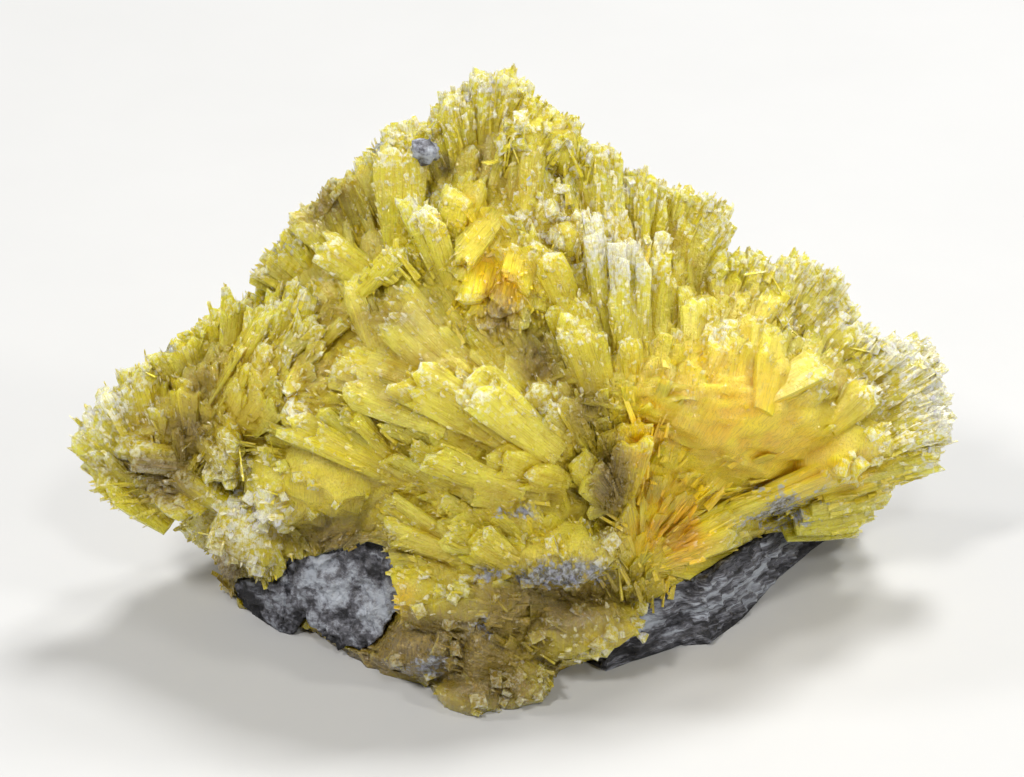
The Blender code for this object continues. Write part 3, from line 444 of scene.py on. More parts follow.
# Each light as (name, place, side, power, colour), with places and sides in metres.
LIGHTS = [
    ("key_light", (-0.30, -0.35, 0.55), 0.10, 2.6, (1.0, 0.98, 0.95)),
    ("top_light", (0.12, 0.28, 0.55), 0.14, 3.0, (1.0, 1.0, 1.0)),
    ("side_light", (0.55, -0.25, 0.30), 0.08, 1.5, (1.0, 0.98, 0.94)),
    ("front_light", (0.10, -0.45, 0.50), 0.08, 1.1, (1.0, 1.0, 1.0)),
    ("left_light", (-0.50, 0.05, 0.40), 0.08, 1.2, (1.0, 1.0, 1.0)),
    ("back_light", (0.35, 0.25, 0.50), 0.08, 1.5, (1.0, 1.0, 1.0)),
]
LENS = 180.0
SENSOR = 36.0
VIEW_WIDTH = 102.4
VIEW_CENTRE = (-0.8, 33.15, -8.0)


# ---------------------------------------------------------------- places and directions

def face_point(across, up, out):
    """The place of (across, up, out) as (x, y, z)."""
    y = FRONT_TIP_Y + up * math.sin(LEAN) - out * math.cos(LEAN)
    z = up * math.cos(LEAN) + out * math.sin(LEAN)
    return Vector((across, y, z))


def rim_place(across, up, out):
    """(across, up, out) with out worked out where the point lies on the ground."""
    if out is None:
        out = (FOOT_Z / math.cos(LEAN) - up) / math.tan(LEAN)
    return Vector((across, up, out))


def along(points, share):
    """The point at a share of a row of points, counted by its steps."""
    step = min(int(share * (len(points) - 1)), len(points) - 2)
    rest = share * (len(points) - 1) - step
    return Vector(points[step]).lerp(Vector(points[step + 1]), rest)


def sheaves():
    """Every sheaf as (seat, radius, root, lift), with its places as (x, y, z)."""
    front = [(face_point(*seat), radius, face_point(*root), lift)
             for seat, radius, root, lift in FRONT_SHEAVES]
    back = [(Vector(seat), radius, Vector(root), lift) for seat, radius, root, lift in BACK_SHEAVES]
    return front + back


def sheaf_at(place, choices):
    """The sheaf whose patch holds the place."""
    return min(choices, key=lambda sheaf: (place - sheaf[0]).length / sheaf[1])


OUTWARD = face_point(0, 0, 1) - face_point(0, 0, 0)


def random_vector(draw, low, high):
    """A vector with each part drawn between two values."""
    return Vector([draw.uniform(low, high) for _ in range(3)])


def place_in_triangle(a, b, c, draw):
    """A place drawn evenly from a triangle."""
    s, t = draw.random(), draw.random()
    if s + t > 1.0:
        s, t = 1.0 - s, 1.0 - t
    return a + (b - a) * s + (c - a) * t


# ---------------------------------------------------------------- the body that the blades grow on

def relief_at(place):
    """How far the face swells out at a place on it."""
    return sum(height * math.exp(-math.hypot(place.x - seat[0], place.y - seat[1]) ** 2 / radius ** 2)
               for seat, radius, height in RELIEF)


def front_rings():
    """Rings of places over the front face, from the rim in to the middle."""
    rim = [rim_place(*point) for point in CREST + FOOT]
    middle = Vector(FACE_CENTRE)
    rings = []
    for step in range(FACE_RINGS):
        share = 1.0 - step / FACE_RINGS
        ring = []
        for point in rim:
            place = middle.lerp(point, share)
            swelling = relief_at(place) * min(1.0, RELIEF_FADE * (1.0 - share))
            place.z = middle.z + (point.z - middle.z) * share ** FACE_ROUNDNESS + swelling
            ring.append(face_point(*place))
        rings.append(ring)
    return rings


def back_columns(crest):
    """For each place of the crest, the places from it down the back to the ground."""
    columns = []
    for number, top in enumerate(crest):
        foot = along(BACK_FOOT, number / (len(crest) - 1)).to_3d() + Vector((0.0, 0.0, FOOT_Z))
        column = []
        for row in range(1, BACK_ROWS + 1):
            share = row / BACK_ROWS
            place = top.lerp(foot, share)
            bulge = (foot - top).length * BACK_BULGE * math.sin(math.pi * share)
            outward = Vector((place.x * BACK_SPREAD, 1.0, 0.0)).normalized()
            column.append(place + outward * bulge)
        columns.append(column)
    return columns


def add_body(bm):
    """Adds the closed body: the front face, the back, and a base that reaches below the ground."""
    rings = front_rings()
    count = len(rings[0])
    crest_count = len(CREST)
    ring_verts = [[bm.verts.new(place) for place in ring] for ring in rings]
    for outer, inner in zip(ring_verts, ring_verts[1:], strict=False):
        for number in range(count):
            following = (number + 1) % count
            bm.faces.new([outer[number], outer[following], inner[following], inner[number]])
    middle = bm.verts.new(face_point(*FACE_CENTRE))
    for number in range(count):
        bm.faces.new([ring_verts[-1][number], ring_verts[-1][(number + 1) % count], middle])

    rim = ring_verts[0]
    columns = [[rim[number]] + [bm.verts.new(place) for place in column]
               for number, column in enumerate(back_columns(rings[0][:crest_count]))]
    columns[0] = [rim[0]] * (BACK_ROWS + 1)
    columns[-1] = [rim[crest_count - 1]] * (BACK_ROWS + 1)
    for left, right in zip(columns, columns[1:], strict=False):
        for row in range(BACK_ROWS):
            corners = dict.fromkeys([left[row], left[row + 1], right[row + 1], right[row]])
            bm.faces.new(corners)

    foot = [column[-1] for column in columns] + rim[crest_count:]
    buried = [bm.verts.new((vert.co.x, vert.co.y, BURIED_BASE)) for vert in foot]
    for number in range(len(foot)):
        following = (number + 1) % len(foot)
        bm.faces.new([foot[number], foot[following], buried[following], buried[number]])
    bm.faces.new(buried)
    loose = [vert for vert in bm.verts if not vert.link_faces]
    bmesh.ops.delete(bm, geom=loose, context="VERTS")
    bmesh.ops.recalc_face_normals(bm, faces=bm.faces)


def surface_places(bm, spacing, draw):
    """Places spread over the body at least a spacing apart, each with the outward normal there."""
    faces = bmesh.ops.triangulate(bm, faces=bm.faces[:])["faces"]
    areas = [face.calc_area() for face in faces]
    found = []
    misses = 0
    while misses < SPREADING_TRIES:
        place, normal = random_place(faces, areas, draw)
        far = all((place - other).length > spacing for other, _ in found)
        if place.z > LOWEST_BLADE_Z and far:
            found.append((place, normal))
            misses = 0
        else:
            misses += 1
    return found


def random_place(faces, areas, draw):
    """A place on triangles, drawn by area, and the normal there."""
    face = draw.choices(faces, areas)[0]
    return place_in_triangle(*(vert.co for vert in face.verts), draw), face.normal.copy()


def fine_places(bm, draw):
    """Many places over the body, a fine spacing apart, each with the outward normal there."""
    faces = bm.faces[:]
    areas = [face.calc_area() for face in faces]
    cells = {}
    found = []
    for _ in range(FINE_COUNT):
        place, normal = random_place(faces, areas, draw)
        cell = tuple(int(part // FINE_SPACING) for part in place)
        near = [other for x in (-1, 0, 1) for y in (-1, 0, 1) for z in (-1, 0, 1)
                for other in cells.get((cell[0] + x, cell[1] + y, cell[2] + z), ())]
        if place.z > FINE_LOWEST_Z and all((place - other).length > FINE_SPACING for other in near):
            cells.setdefault(cell, []).append(place)
            found.append((place, normal))
    return found


def roughen_body(bm, choices):
    """Gives the body fine ridges that run along each sheaf."""
    bmesh.ops.subdivide_edges(bm, edges=bm.edges, cuts=BODY_CUTS, use_grid_fill=True)
    bmesh.ops.triangulate(bm, faces=bm.faces)
    for _ in range(BODY_SMOOTHING):
        bmesh.ops.smooth_vert(bm, verts=[vert for vert in bm.verts if vert.co.z > 0.5], factor=0.5,
                              use_axis_x=True, use_axis_y=True, use_axis_z=True)
    bm.normal_update()
    moves = []
    for vert in bm.verts:
        grain = sheaf_grain(vert.co, sheaf_at(vert.co, choices))
        stretched = Vector([part / size for part, size in zip(grain, RIDGE_SIZE, strict=True)])
        height = noise.fractal(stretched, 0.8, 2.0, 3) * BODY_ROUGHNESS
        moves.append(vert.normal * (height - BODY_SINKING))
    for vert, move in zip(bm.verts, moves, strict=True):
        vert.co += move


def sheaf_grain(place, sheaf):
    """A place given across, square to and along the direction in which its sheaf spreads."""
    seat, _, root, _ = sheaf
    axis = (seat - root).normalized()
    side = axis.cross(OUTWARD).normalized()
    spread = place - root
    distance = max(spread.length, 1.0)
    return Vector((spread.dot(side) / distance * GRAIN_DISTANCE,
                   spread.dot(side.cross(axis)) / distance * GRAIN_DISTANCE, distance))


# ---------------------------------------------------------------- shells with their grain

# A closed shell. Each point has its place in the crystal's own grain, and a growth: how far along the crystal
# it is, the crystal's tint and a zero.
Shell = namedtuple("Shell", "points faces grain growth smooth")


def ring_faces(size, rows):
    """The faces that join rings of one size and cap the first and the last."""
    faces = [tuple(range(size))[::-1], tuple(range((rows - 1) * size, rows * size))]
    for low in range(0, (rows - 1) * size, size):
        for column in range(size):
            following = (column + 1) % size
            faces.append((low + column, low + following, low + size + following, low + size + column))
    return faces


def blade_frame(root, tip, outward):
    """A blade's directions across its width, through its thickness and along it, and its length."""
    axis = (tip - root).normalized()
    flat = axis.cross(outward).normalized()
    return flat, flat.cross(axis), axis, (tip - root).length


def plate(root, tip, width, thickness, outward, draw):
    """A flat blade that widens towards a ragged, bevelled end, with low ridges along its faces."""
    flat, thick, axis, length = blade_frame(root, tip, outward)
    offset = random_vector(draw, 0.0, GRAIN_RANGE)
    tint = draw.random()
    slant = draw.uniform(-END_SLANT, END_SLANT)
    chisel = min(thickness * draw.uniform(*CHISEL), MOST_CHISEL * length)
    ragged = min(RAGGEDNESS, MOST_RAGGED * length)
    columns = max(2, round(width / COLUMN_WIDTH))
    sides = [number / columns - 0.5 for number in range(columns + 1)]
    thinning = [1.0 - EDGE_THINNING * abs(2.0 * side) ** 3 for side in sides]
    tops = [thickness * draw.uniform(*RIDGES) * thin for thin in thinning]
    keels = [-thickness * draw.uniform(*KEEL) * thin for thin in thinning]
    ends = [length + side * slant * width - SHOULDER * width * (2.0 * side) ** 4 - ragged * draw.random() ** 2
            for side in sides]

    rows = [(share_wide, share_thick, [share * end for end in ends], [share * end for end in ends])
            for share, share_wide, share_thick in PLATE_RINGS]
    rows.append((1.0, 1.0, [end - chisel for end in ends], [end - 0.3 * chisel for end in ends]))
    rows.append((1.0, TIP_THICKNESS, ends, ends))
    points, grain, growth = [], [], []
    for share_wide, share_thick, upper, lower in rows:
        ring = [(side, top, run) for side, top, run in zip(sides, tops, upper, strict=True)]
        ring += [(side, keel, run) for side, keel, run in zip(sides, keels, lower, strict=True)][::-1]
        for side, height, run in ring:
            x, y = side * width * share_wide, height * share_thick
            points.append(root + flat * x + thick * y + axis * run)
            grain.append(Vector((x, y, run)) + offset)
            growth.append((run / length, tint, 0.0))
    return Shell(points, ring_faces(2 * len(sides), len(rows)), grain, growth, False)


def bundle(root, tip, width, thickness, outward, draw):
    """A large crystal as a stack of plates, the outer ones shorter."""
    flat, thick, axis, length = blade_frame(root, tip, outward)
    layers = max(2, round(thickness / LAYER_THICKNESS))
    shells = []
    for layer in range(layers):
        depth = ((layer + 0.5) / layers - 0.5) * thickness
        shift = flat * draw.uniform(-LAYER_SHIFT, LAYER_SHIFT) * width
        swing = flat * draw.uniform(-LAYER_SWING, LAYER_SWING) * length
        shorter = min(layer * draw.uniform(*LAYER_STEP), MOST_STEPPING * length)
        start = root + thick * depth * ROOT_TAPER + shift
        end = tip + thick * depth + shift + swing - axis * shorter
        narrower = width * draw.uniform(*LAYER_WIDTH)
        shells.append(plate(start, end, narrower, thickness / layers * LAYER_OVERLAP, outward, draw))
    return shells


SQUARE = [(-0.5, -0.5), (0.5, -0.5), (0.5, 0.5), (-0.5, 0.5)]
BLOCK_FACES = ring_faces(4, 2)


def block(centre, size, draw):
    """A small uneven block."""
    turn = Matrix.Rotation(draw.uniform(0.0, math.tau), 3, [draw.uniform(-1.0, 1.0) for _ in range(3)])
    shape = [size * draw.uniform(*BLOCK_SHAPE) for _ in range(3)]
    points = []
    for corner in [(x, y, z) for z in (-0.5, 0.5) for x, y in SQUARE]:
        uneven = [part * scale * draw.uniform(*BLOCK_UNEVENNESS)
                  for part, scale in zip(corner, shape, strict=True)]
        points.append(centre + turn @ Vector(uneven))
    growth = [(1.0, draw.random(), 0.0)] * len(points)
    return Shell(points, BLOCK_FACES, [point.copy() for point in points], growth, False)


def splinter(root, tip, width, thickness, outward, draw):
    """A fine four-sided splinter that thins towards its tip."""
    flat, thick, axis, length = blade_frame(root, tip, outward)
    offset = random_vector(draw, 0.0, GRAIN_RANGE)
    tint = draw.random()
    ridge = draw.uniform(-SPLINTER_RIDGE, SPLINTER_RIDGE)
    outline = [(-0.5, 0.0), (ridge, 0.5), (0.5, 0.0), (-ridge, -0.5)]
    points, grain, growth = [], [], []
    for share, scale, unevenness in SPLINTER_ENDS:
        for a, b in outline:
            x, y = a * width * scale, b * thickness * scale
            z = share * length + draw.uniform(-unevenness, unevenness) * width
            points.append(root + flat * x + thick * y + axis * z)
            grain.append(Vector((x, y, z)) + offset)
            growth.append((0.55 + 0.45 * share, tint, 0.0))
    return Shell(points, BLOCK_FACES, grain, growth, False)


def rough_lump(centre, half_extents, draw):
    """A rough rounded lump."""
    bm = bmesh.new()
    bmesh.ops.create_icosphere(bm, subdivisions=MASS_DETAIL, radius=1.0)
    turn = Matrix.Translation(centre) @ Matrix.Rotation(-LEAN, 4, "X")
    seed = random_vector(draw, 0.0, GRAIN_RANGE)
    tint = draw.random()
    points = []
    for vert in bm.verts:
        swell = noise.fractal(vert.co * MASS_WEATHERING + seed, 0.8, 2.1, 5)
        rough = 1.0 + MASS_ROUGHNESS * swell
        across, up, out = (part * rough * size for part, size in zip(vert.co, half_extents, strict=True))
        points.append(turn @ Vector((across, -out, up)))
    faces = [tuple(vert.index for vert in face.verts) for face in bm.faces]
    bm.free()
    grain = [point + seed for point in points]
    return Shell(points, faces, grain, [(0.6, tint, 0.0)] * len(points), True)


# ---------------------------------------------------------------- placing the crystals

def buried_length(tree, tip, heading, length, shortest):
    """The length shortened until the root end lies inside the body, or nothing where it never does."""
    while length > shortest:
        root = tip - heading * length
        nearest, normal, _, _ = tree.find_nearest(root)
        if (nearest - root).dot(normal) > ROOT_DEPTH:
            return length
        length *= SHORTENING
    return None


def surface_root(tree, place, normal, tip, sheaf, length, shortest):
    """The root of a blade that follows its sheaf over the body, steepened until it is buried, or nothing."""
    _, _, root, lift = sheaf
    spread = place - root
    surface_run = spread - normal * spread.dot(normal)
    flat_part = surface_run.normalized() * min(1.0, surface_run.length / SHORT_RUN)
    for steeper in STEEPENING:
        heading = (flat_part + normal * (lift * FLATNESS + steeper)).normalized()
        fitting = buried_length(tree, tip, heading, min(length, spread.length), shortest)
        if fitting:
            return tip - heading * fitting
    return None


def up_face(place):
    """How far up the leaning face a place lies."""
    return place.z * math.cos(LEAN) + (place.y - FRONT_TIP_Y) * math.sin(LEAN)


def within(place, seat, radius):
    """Whether a place is within a radius of a seat, seen square to the leaning face."""
    return math.hypot(place.x - seat[0], up_face(place) - seat[1]) < radius


def in_massive(place):
    """Whether a place lies where the growth is massive."""
    return place.y < 0.0 and any(within(place, seat, radius) for seat, radius in MASSIVE)


def too_smooth(place, draw):
    """Whether a fine blade is left out because the growth is smooth where it would be."""
    share = max(strength * within(place, seat, radius) for seat, radius, strength in SMOOTH)
    return place.y < SMOOTH_FRONT_Y and draw.random() < share


def over_rock(place):
    """Whether a place hangs in front of the slab, seen square to the leaning face."""
    up = up_face(place)
    pairs = zip(SLAB_STATIONS, SLAB_STATIONS[1:], strict=False)
    for (across, low, height, _), (end_across, end_low, end_height, _) in pairs:
        if across <= place.x <= end_across:
            share = (place.x - across) / (end_across - across)
            foot = low + (end_low - low) * share
            top = foot + height + (end_height - height) * share
            foremost_y = FRONT_TIP_Y + foot / math.sin(LEAN)
            return up < top + ROCK_MARGIN and place.y < foremost_y + ROCK_MARGIN
    return False


def surface_bundles(body, tree, choices, draw, detail):
    """The large blades of every sheaf, spread over the body, as bundles."""
    shells = []
    for place, normal in surface_places(body, BLADE_SPACING, draw):
        tip = place + normal * draw.uniform(*BLADE_RISE)
        length = draw.uniform(*BLADE_LENGTH)
        width = draw.uniform(*BLADE_WIDTH)
        thickness = draw.uniform(*BLADE_THICKNESS)
        draw.uniform(-BLADE_SLANT, BLADE_SLANT)  # the solids' blades slant, which keeps the draws in step
        sheaf = sheaf_at(place, choices)
        root = surface_root(tree, place, normal, tip, sheaf, length, SHORTEST_BLADE)
        if root and not over_rock(tip) and not in_massive(place):
            shells += bundle(root, tip, width, thickness, normal, detail)
    return shells


def fine_blades(body, tree, choices, draw):
    """Thinner plates that fill the gaps between the bundles, with crusts of blocks at their tips."""
    shells = []
    for place, normal in fine_places(body, draw):
        if normal.dot(OUTWARD) < 0.0 and draw.random() > BACK_SHARE:
            continue
        stray = random_vector(draw, -1.0, 1.0)
        size = MASSIVE_SCALE if in_massive(place) else 1.0
        tip = place + normal * draw.uniform(*FINE_RISE) * size
        sheaf = sheaf_at(place, choices)
        leaning = (normal + stray * FINE_STRAY / size).normalized()
        length = draw.uniform(*FINE_LENGTH) * size
        root = surface_root(tree, place, leaning, tip, sheaf, length, SHORTEST_FINE_BLADE)
        if root and not over_rock(tip) and not too_smooth(place, draw):
            width = draw.uniform(*FINE_WIDTH) * size
            shells.append(plate(root, tip, width, draw.uniform(*FINE_THICKNESS) * size,
                                normal + stray * FINE_TURN, draw))
            shells += tip_crust(root, tip, width, draw)
    return shells


def tip_crust(root, tip, width, draw):
    """Small blocks at a tip, more of them where the growth is pale."""
    across, up = np.array([tip.x]), np.array([up_face(tip)])
    strength = float(patches_at(across, up, PALE_AND_HIGHLIGHT)[0]) if tip.y < 0.0 or tip.z > CRUST_HEIGHT else 0.0
    axis = (tip - root).normalized()
    found = []
    for _ in range(round(TIP_BLOCKS * strength * draw.random())):
        spot = random_vector(draw, -0.5, 0.5)
        aside = spot - axis * spot.dot(axis)
        found.append(block(tip + aside * width - axis * draw.uniform(0.0, CRUST_REACH),
                           draw.uniform(*BLOCK_SIZE), draw))
    return found


def splinters(mesh, choices, draw):
    """Splinters over the faces of a mesh, along the direction in which their sheaves spread."""
    corners = [[mesh.vertices[index].co / MILLIMETRE for index in face.vertices] for face in mesh.polygons]
    normals = [face.normal for face in mesh.polygons]
    areas = [face.area * (BACK_SPLINTERS if normal.dot(OUTWARD) < BACK_FACING else 1.0)
             for face, normal in zip(mesh.polygons, normals, strict=True)]
    shells = []
    for number in draw.choices(range(len(corners)), areas, k=SPLINTER_COUNT):
        place = place_in_triangle(*corners[number][:3], draw)
        normal = normals[number]
        spread = (place - sheaf_at(place, choices)[2]).normalized()
        along_face = spread - normal * min(0.0, spread.dot(normal))
        stray = Vector([draw.gauss(0.0, SPLINTER_STRAY) for _ in range(3)])
        heading = (along_face + stray + normal * draw.uniform(*SPLINTER_LIFT)).normalized()
        length = draw.uniform(*SPLINTER_LENGTH) * (MASSIVE_SCALE if in_massive(place) else 1.0)
        tip = place + heading * length * draw.uniform(*SPLINTER_REACH)
        if heading.dot(normal) > STEEP:
            tip = place + heading * length * STEEP_REACH
        root = tip - heading * length
        outward = (normal + stray * SPLINTER_TURN + heading.orthogonal() * 0.02).normalized()
        if min(tip.z, root.z) > LOWEST_SPLINTER_Z and not over_rock(tip) and not too_smooth(place, draw):
            width = draw.uniform(*SPLINTER_WIDTH)
            thickness = draw.uniform(*SPLINTER_THICKNESS)
            shells.append(splinter(root, tip, width, thickness, outward, draw))
    return shells


def rim_out(across, up):
    """How far out the crest lies where it is nearest to (across, up)."""
    ends = [rim_place(*point) for point in CREST]
    nearest = sorted(ends, key=lambda end: math.hypot(end.x - across, end.y - up))[:2]
    gaps = [math.hypot(end.x - across, end.y - up) + 0.1 for end in nearest]
    return (nearest[0].z * gaps[1] + nearest[1].z * gaps[0]) / sum(gaps)


def edge_blades(choices, draw):
    """The crystals whose tips make the outline, and others behind and in front of them."""
    shells = []
    for across, up in OUTLINE:
        for setback, out in EDGE_ROWS:
            tip = face_point(across, up, rim_out(across, up) + out)
            _, _, root, _ = sheaf_at(tip, choices)
            spread = tip - root
            heading = spread.normalized()
            tip -= heading * setback * draw.uniform(*EDGE_SETBACK)
            length = min(EDGE_LENGTH, EDGE_REACH * spread.length)
            turned = OUTWARD + heading.cross(OUTWARD) * draw.uniform(-EDGE_TURN, EDGE_TURN)
            width = draw.uniform(*EDGE_WIDTH)
            thickness = draw.uniform(*EDGE_THICKNESS)
            shells.append(plate(tip - heading * length, tip, width, thickness, turned, draw))
            for _ in range(EDGE_BLOCKS):
                place = tip - heading * draw.uniform(*EDGE_BLOCK_SETBACK)
                place += OUTWARD * draw.uniform(*EDGE_BLOCK_OUT)
                shells.append(block(place, draw.uniform(*BLOCK_SIZE), draw))
    return shells


def large_crystals(draw):
    """The large crystals that stand out from the sheaves."""
    shells = []
    for root, tip, width, thickness in LARGE_CRYSTALS:
        shells += bundle(face_point(*root), face_point(*tip), width, thickness, OUTWARD, draw)
    return shells


def masses(draw):
    """The rounded and blocky masses, crusted with small blocks."""
    shells = []
    for centre, half_extents in MASSES:
        lump = rough_lump(face_point(*centre), half_extents, draw)
        shells.append(lump)
        for point in draw.sample(lump.points, MASS_BLOCKS):
            shells.append(block(point, draw.uniform(*MASS_BLOCK_SIZE), draw))
    return shells


# ---------------------------------------------------------------- rooms for the rock

def prism(rings):
    """A mesh that joins rings of equal length and caps the first and the last."""
    return [place for ring in rings for place in ring], ring_faces(len(rings[0]), len(rings))


def slab_room():
    """The room that the slab takes up, open to the front."""
    rings = []
    last = len(SLAB_STATIONS) - 1
    for number, (across, up, height, depth) in enumerate(SLAB_STATIONS):
        foot = face_point(*rim_place(across, up, None))
        end = -1 if number == 0 else int(number == last)
        x = foot.x + end * GAP
        wobble = SLAB_WOBBLE * (-1) ** number
        ring = [Vector((x, foot.y + SLAB_UNDERCUT - SLAB_CLEARANCE, BURIED_BASE))]
        for share, setback in SLAB_PROFILE:
            bump = wobble if share < 1.0 else 0.0
            y = foot.y + setback * min(1.0, height / SLAB_FULL_HEIGHT) + bump
            ring.append(Vector((x, y - SLAB_CLEARANCE, height * share + GAP * (share == 1.0))))
        ring.append(Vector((x, y, height + GAP)))
        ring.append(Vector((x, foot.y + depth + GAP, height * SLAB_BACK_HEIGHT + GAP)))
        ring.append(Vector((x, foot.y + depth + GAP, BURIED_BASE)))
        rings.append(ring)
    return prism(rings)


def patch_room():
    """The room that the rock patch takes up, open to the front."""
    face = [face_point(*point) for point in PATCH_FACE]
    front, back = [], []
    for number, place in enumerate(face):
        before, after = face[number - 1], face[(number + 1) % len(face)]
        edge = after - before
        side = Vector((-edge.z, 0.0, edge.x)).normalized()
        front.append(place + side * GAP + Vector((0.0, -PATCH_CLEARANCE, 0.0)))
        back.append(Vector((place.x, PATCH_BACK_Y, place.z)) + side * GAP + Vector((0.0, GAP, 0.0)))
    return prism([front, back])


def ground_room():
    """A block that fills everything below the ground."""
    x, y, z = GROUND_BLOCK
    return prism([[Vector((a * x, b * y, level)) for a, b in SQUARE] for level in (-z, 0.0)])


# ---------------------------------------------------------------- joining

def show(item):
    """Puts an object in the scene."""
    bpy.context.scene.collection.objects.link(item)


def mesh_object(name, points, faces):
    """An object from points in millimetres, its faces as triangles that point outwards."""
    mesh = bpy.data.meshes.new(name)
    mesh.from_pydata([point * MILLIMETRE for point in points], [], faces)
    bm = bmesh.new()
    bm.from_mesh(mesh)
    bmesh.ops.recalc_face_normals(bm, faces=bm.faces)
    bmesh.ops.triangulate(bm, faces=bm.faces)
    bm.to_mesh(mesh)
    bm.free()
    return bpy.data.objects.new(name, mesh)


def shell_object(name, shell):
    """An object of a shell, whose corners carry the grain and the growth."""
    item = mesh_object(name, shell.points, shell.faces)
    mesh = item.data
    corners = np.zeros(len(mesh.loops), np.int32)
    mesh.loops.foreach_get("vertex_index", corners)
    for label, values in (("grain", shell.grain), ("growth", shell.growth)):
        layer = mesh.attributes.new(label, "FLOAT_VECTOR", "CORNER")
        layer.data.foreach_set("vector", np.array(values, np.float32)[corners].ravel())
    mesh.polygons.foreach_set("use_smooth", [shell.smooth] * len(mesh.polygons))
    return item


def joined(shells):
    """Several shells as one, without joining their insides."""
    points, faces, grain, growth = [], [], [], []
    for shell in shells:
        faces += [tuple(index + len(points) for index in face) for face in shell.faces]
        points += shell.points
        grain += shell.grain
        growth += shell.growth
    return Shell(points, faces, grain, growth, False)


def combine(item, operation, **operand):
    """Joins an object with others, or cuts it."""
    modifier = item.modifiers.new(operation.lower(), "BOOLEAN")
    modifier.operation = operation
    modifier.solver = "MANIFOLD"
    for name, value in operand.items():
        setattr(modifier, name, value)


def settle(item):
    """Applies an object's modifiers."""
    graph = bpy.context.evaluated_depsgraph_get()
    result = bpy.data.meshes.new_from_object(item.evaluated_get(graph))
    item.modifiers.clear()
    item.data = result


def drop_loose_shells(item):
    """Deletes all but the largest shell of an object."""
    bm = bmesh.new()
    bm.from_mesh(item.data)
    seen = set()
    largest = []
    for first in bm.verts:
        if first in seen:
            continue
        seen.add(first)
        shell = [first]
        for vert in shell:
            for edge in vert.link_edges:
                other = edge.other_vert(vert)
                if other not in seen:
                    seen.add(other)
                    shell.append(other)
        largest = max(largest, shell, key=len)
    kept = set(largest)
    bmesh.ops.delete(bm, geom=[vert for vert in bm.verts if vert not in kept], context="VERTS")
    bmesh.ops.triangulate(bm, faces=bm.faces)
    bm.to_mesh(item.data)
    bm.free()


def grow_together(item, shells):
    """Joins an object with crossing shells."""
    group = bpy.data.collections.new("shells")
    bpy.context.scene.collection.children.link(group)
    for number, shell in enumerate(shells):
        group.objects.link(shell_object(f"shell_{number}", shell))
    combine(item, "UNION", operand_type="COLLECTION", collection=group)
    settle(item)
    for shell in list(group.objects):
        bpy.data.objects.remove(shell)
    bpy.data.collections.remove(group)


def cut_rooms(item):
    """Cuts the ground and the rooms of the rocks out of an object."""
    cutters = []
    for name, (points, faces) in (("ground", ground_room()), ("slab_room", slab_room()),
                                  ("patch_room", patch_room())):
        cutter = mesh_object(name, points, faces)
        show(cutter)
        combine(item, "DIFFERENCE", object=cutter)
        cutters.append(cutter)
    settle(item)
    for cutter in cutters:
        bpy.data.objects.remove(cutter)


# ---------------------------------------------------------------- colour zones

def patches_at(across, up, patches):
    """The strength of a set of patches at arrays of places."""
    clear = np.ones_like(across)
    for (seat_across, seat_up), (wide, high), strength in patches:
        gap = ((across - seat_across) / wide) ** 2 + ((up - seat_up) / high) ** 2
        clear *= 1.0 - strength * np.exp(-gap)
    return 1.0 - clear


def paint_zones(mesh):
    """Writes how amber, olive, pale and rocky each place is; the olive patches are partly painted shade and
    the pale ones partly a painted highlight.
    """
    places = np.zeros(len(mesh.vertices) * 3, np.float32)
    mesh.vertices.foreach_get("co", places)
    places = places.reshape(-1, 3) / MILLIMETRE
    across = places[:, 0]
    up = places[:, 2] * math.cos(LEAN) + (places[:, 1] - FRONT_TIP_Y) * math.sin(LEAN)
    out = places[:, 2] * math.sin(LEAN) - (places[:, 1] - FRONT_TIP_Y) * math.cos(LEAN)
    front = np.clip((out - FRONT_FROM) / FRONT_FADE, 0.0, 1.0)
    zones = np.stack([patches_at(across, up, patches) * front for patches in (AMBER, OLIVE_AND_SHADE, PALE_AND_HIGHLIGHT, ROCKY)], 1)
    layer = mesh.attributes.new("zone", "FLOAT_COLOR", "POINT")
    layer.data.foreach_set("color", zones.astype(np.float32).ravel())


def paint_heights(mesh, tree):
    """Writes how far each place stands out from the body that the blades grow on, in millimetres."""
    heights = []
    for vert in mesh.vertices:
        place = vert.co / MILLIMETRE
        nearest, normal, _, _ = tree.find_nearest(place)
        heights.append((place - nearest).dot(normal))
    layer = mesh.attributes.new("height", "FLOAT", "POINT")
    layer.data.foreach_set("value", heights)


# ---------------------------------------------------------------- materials

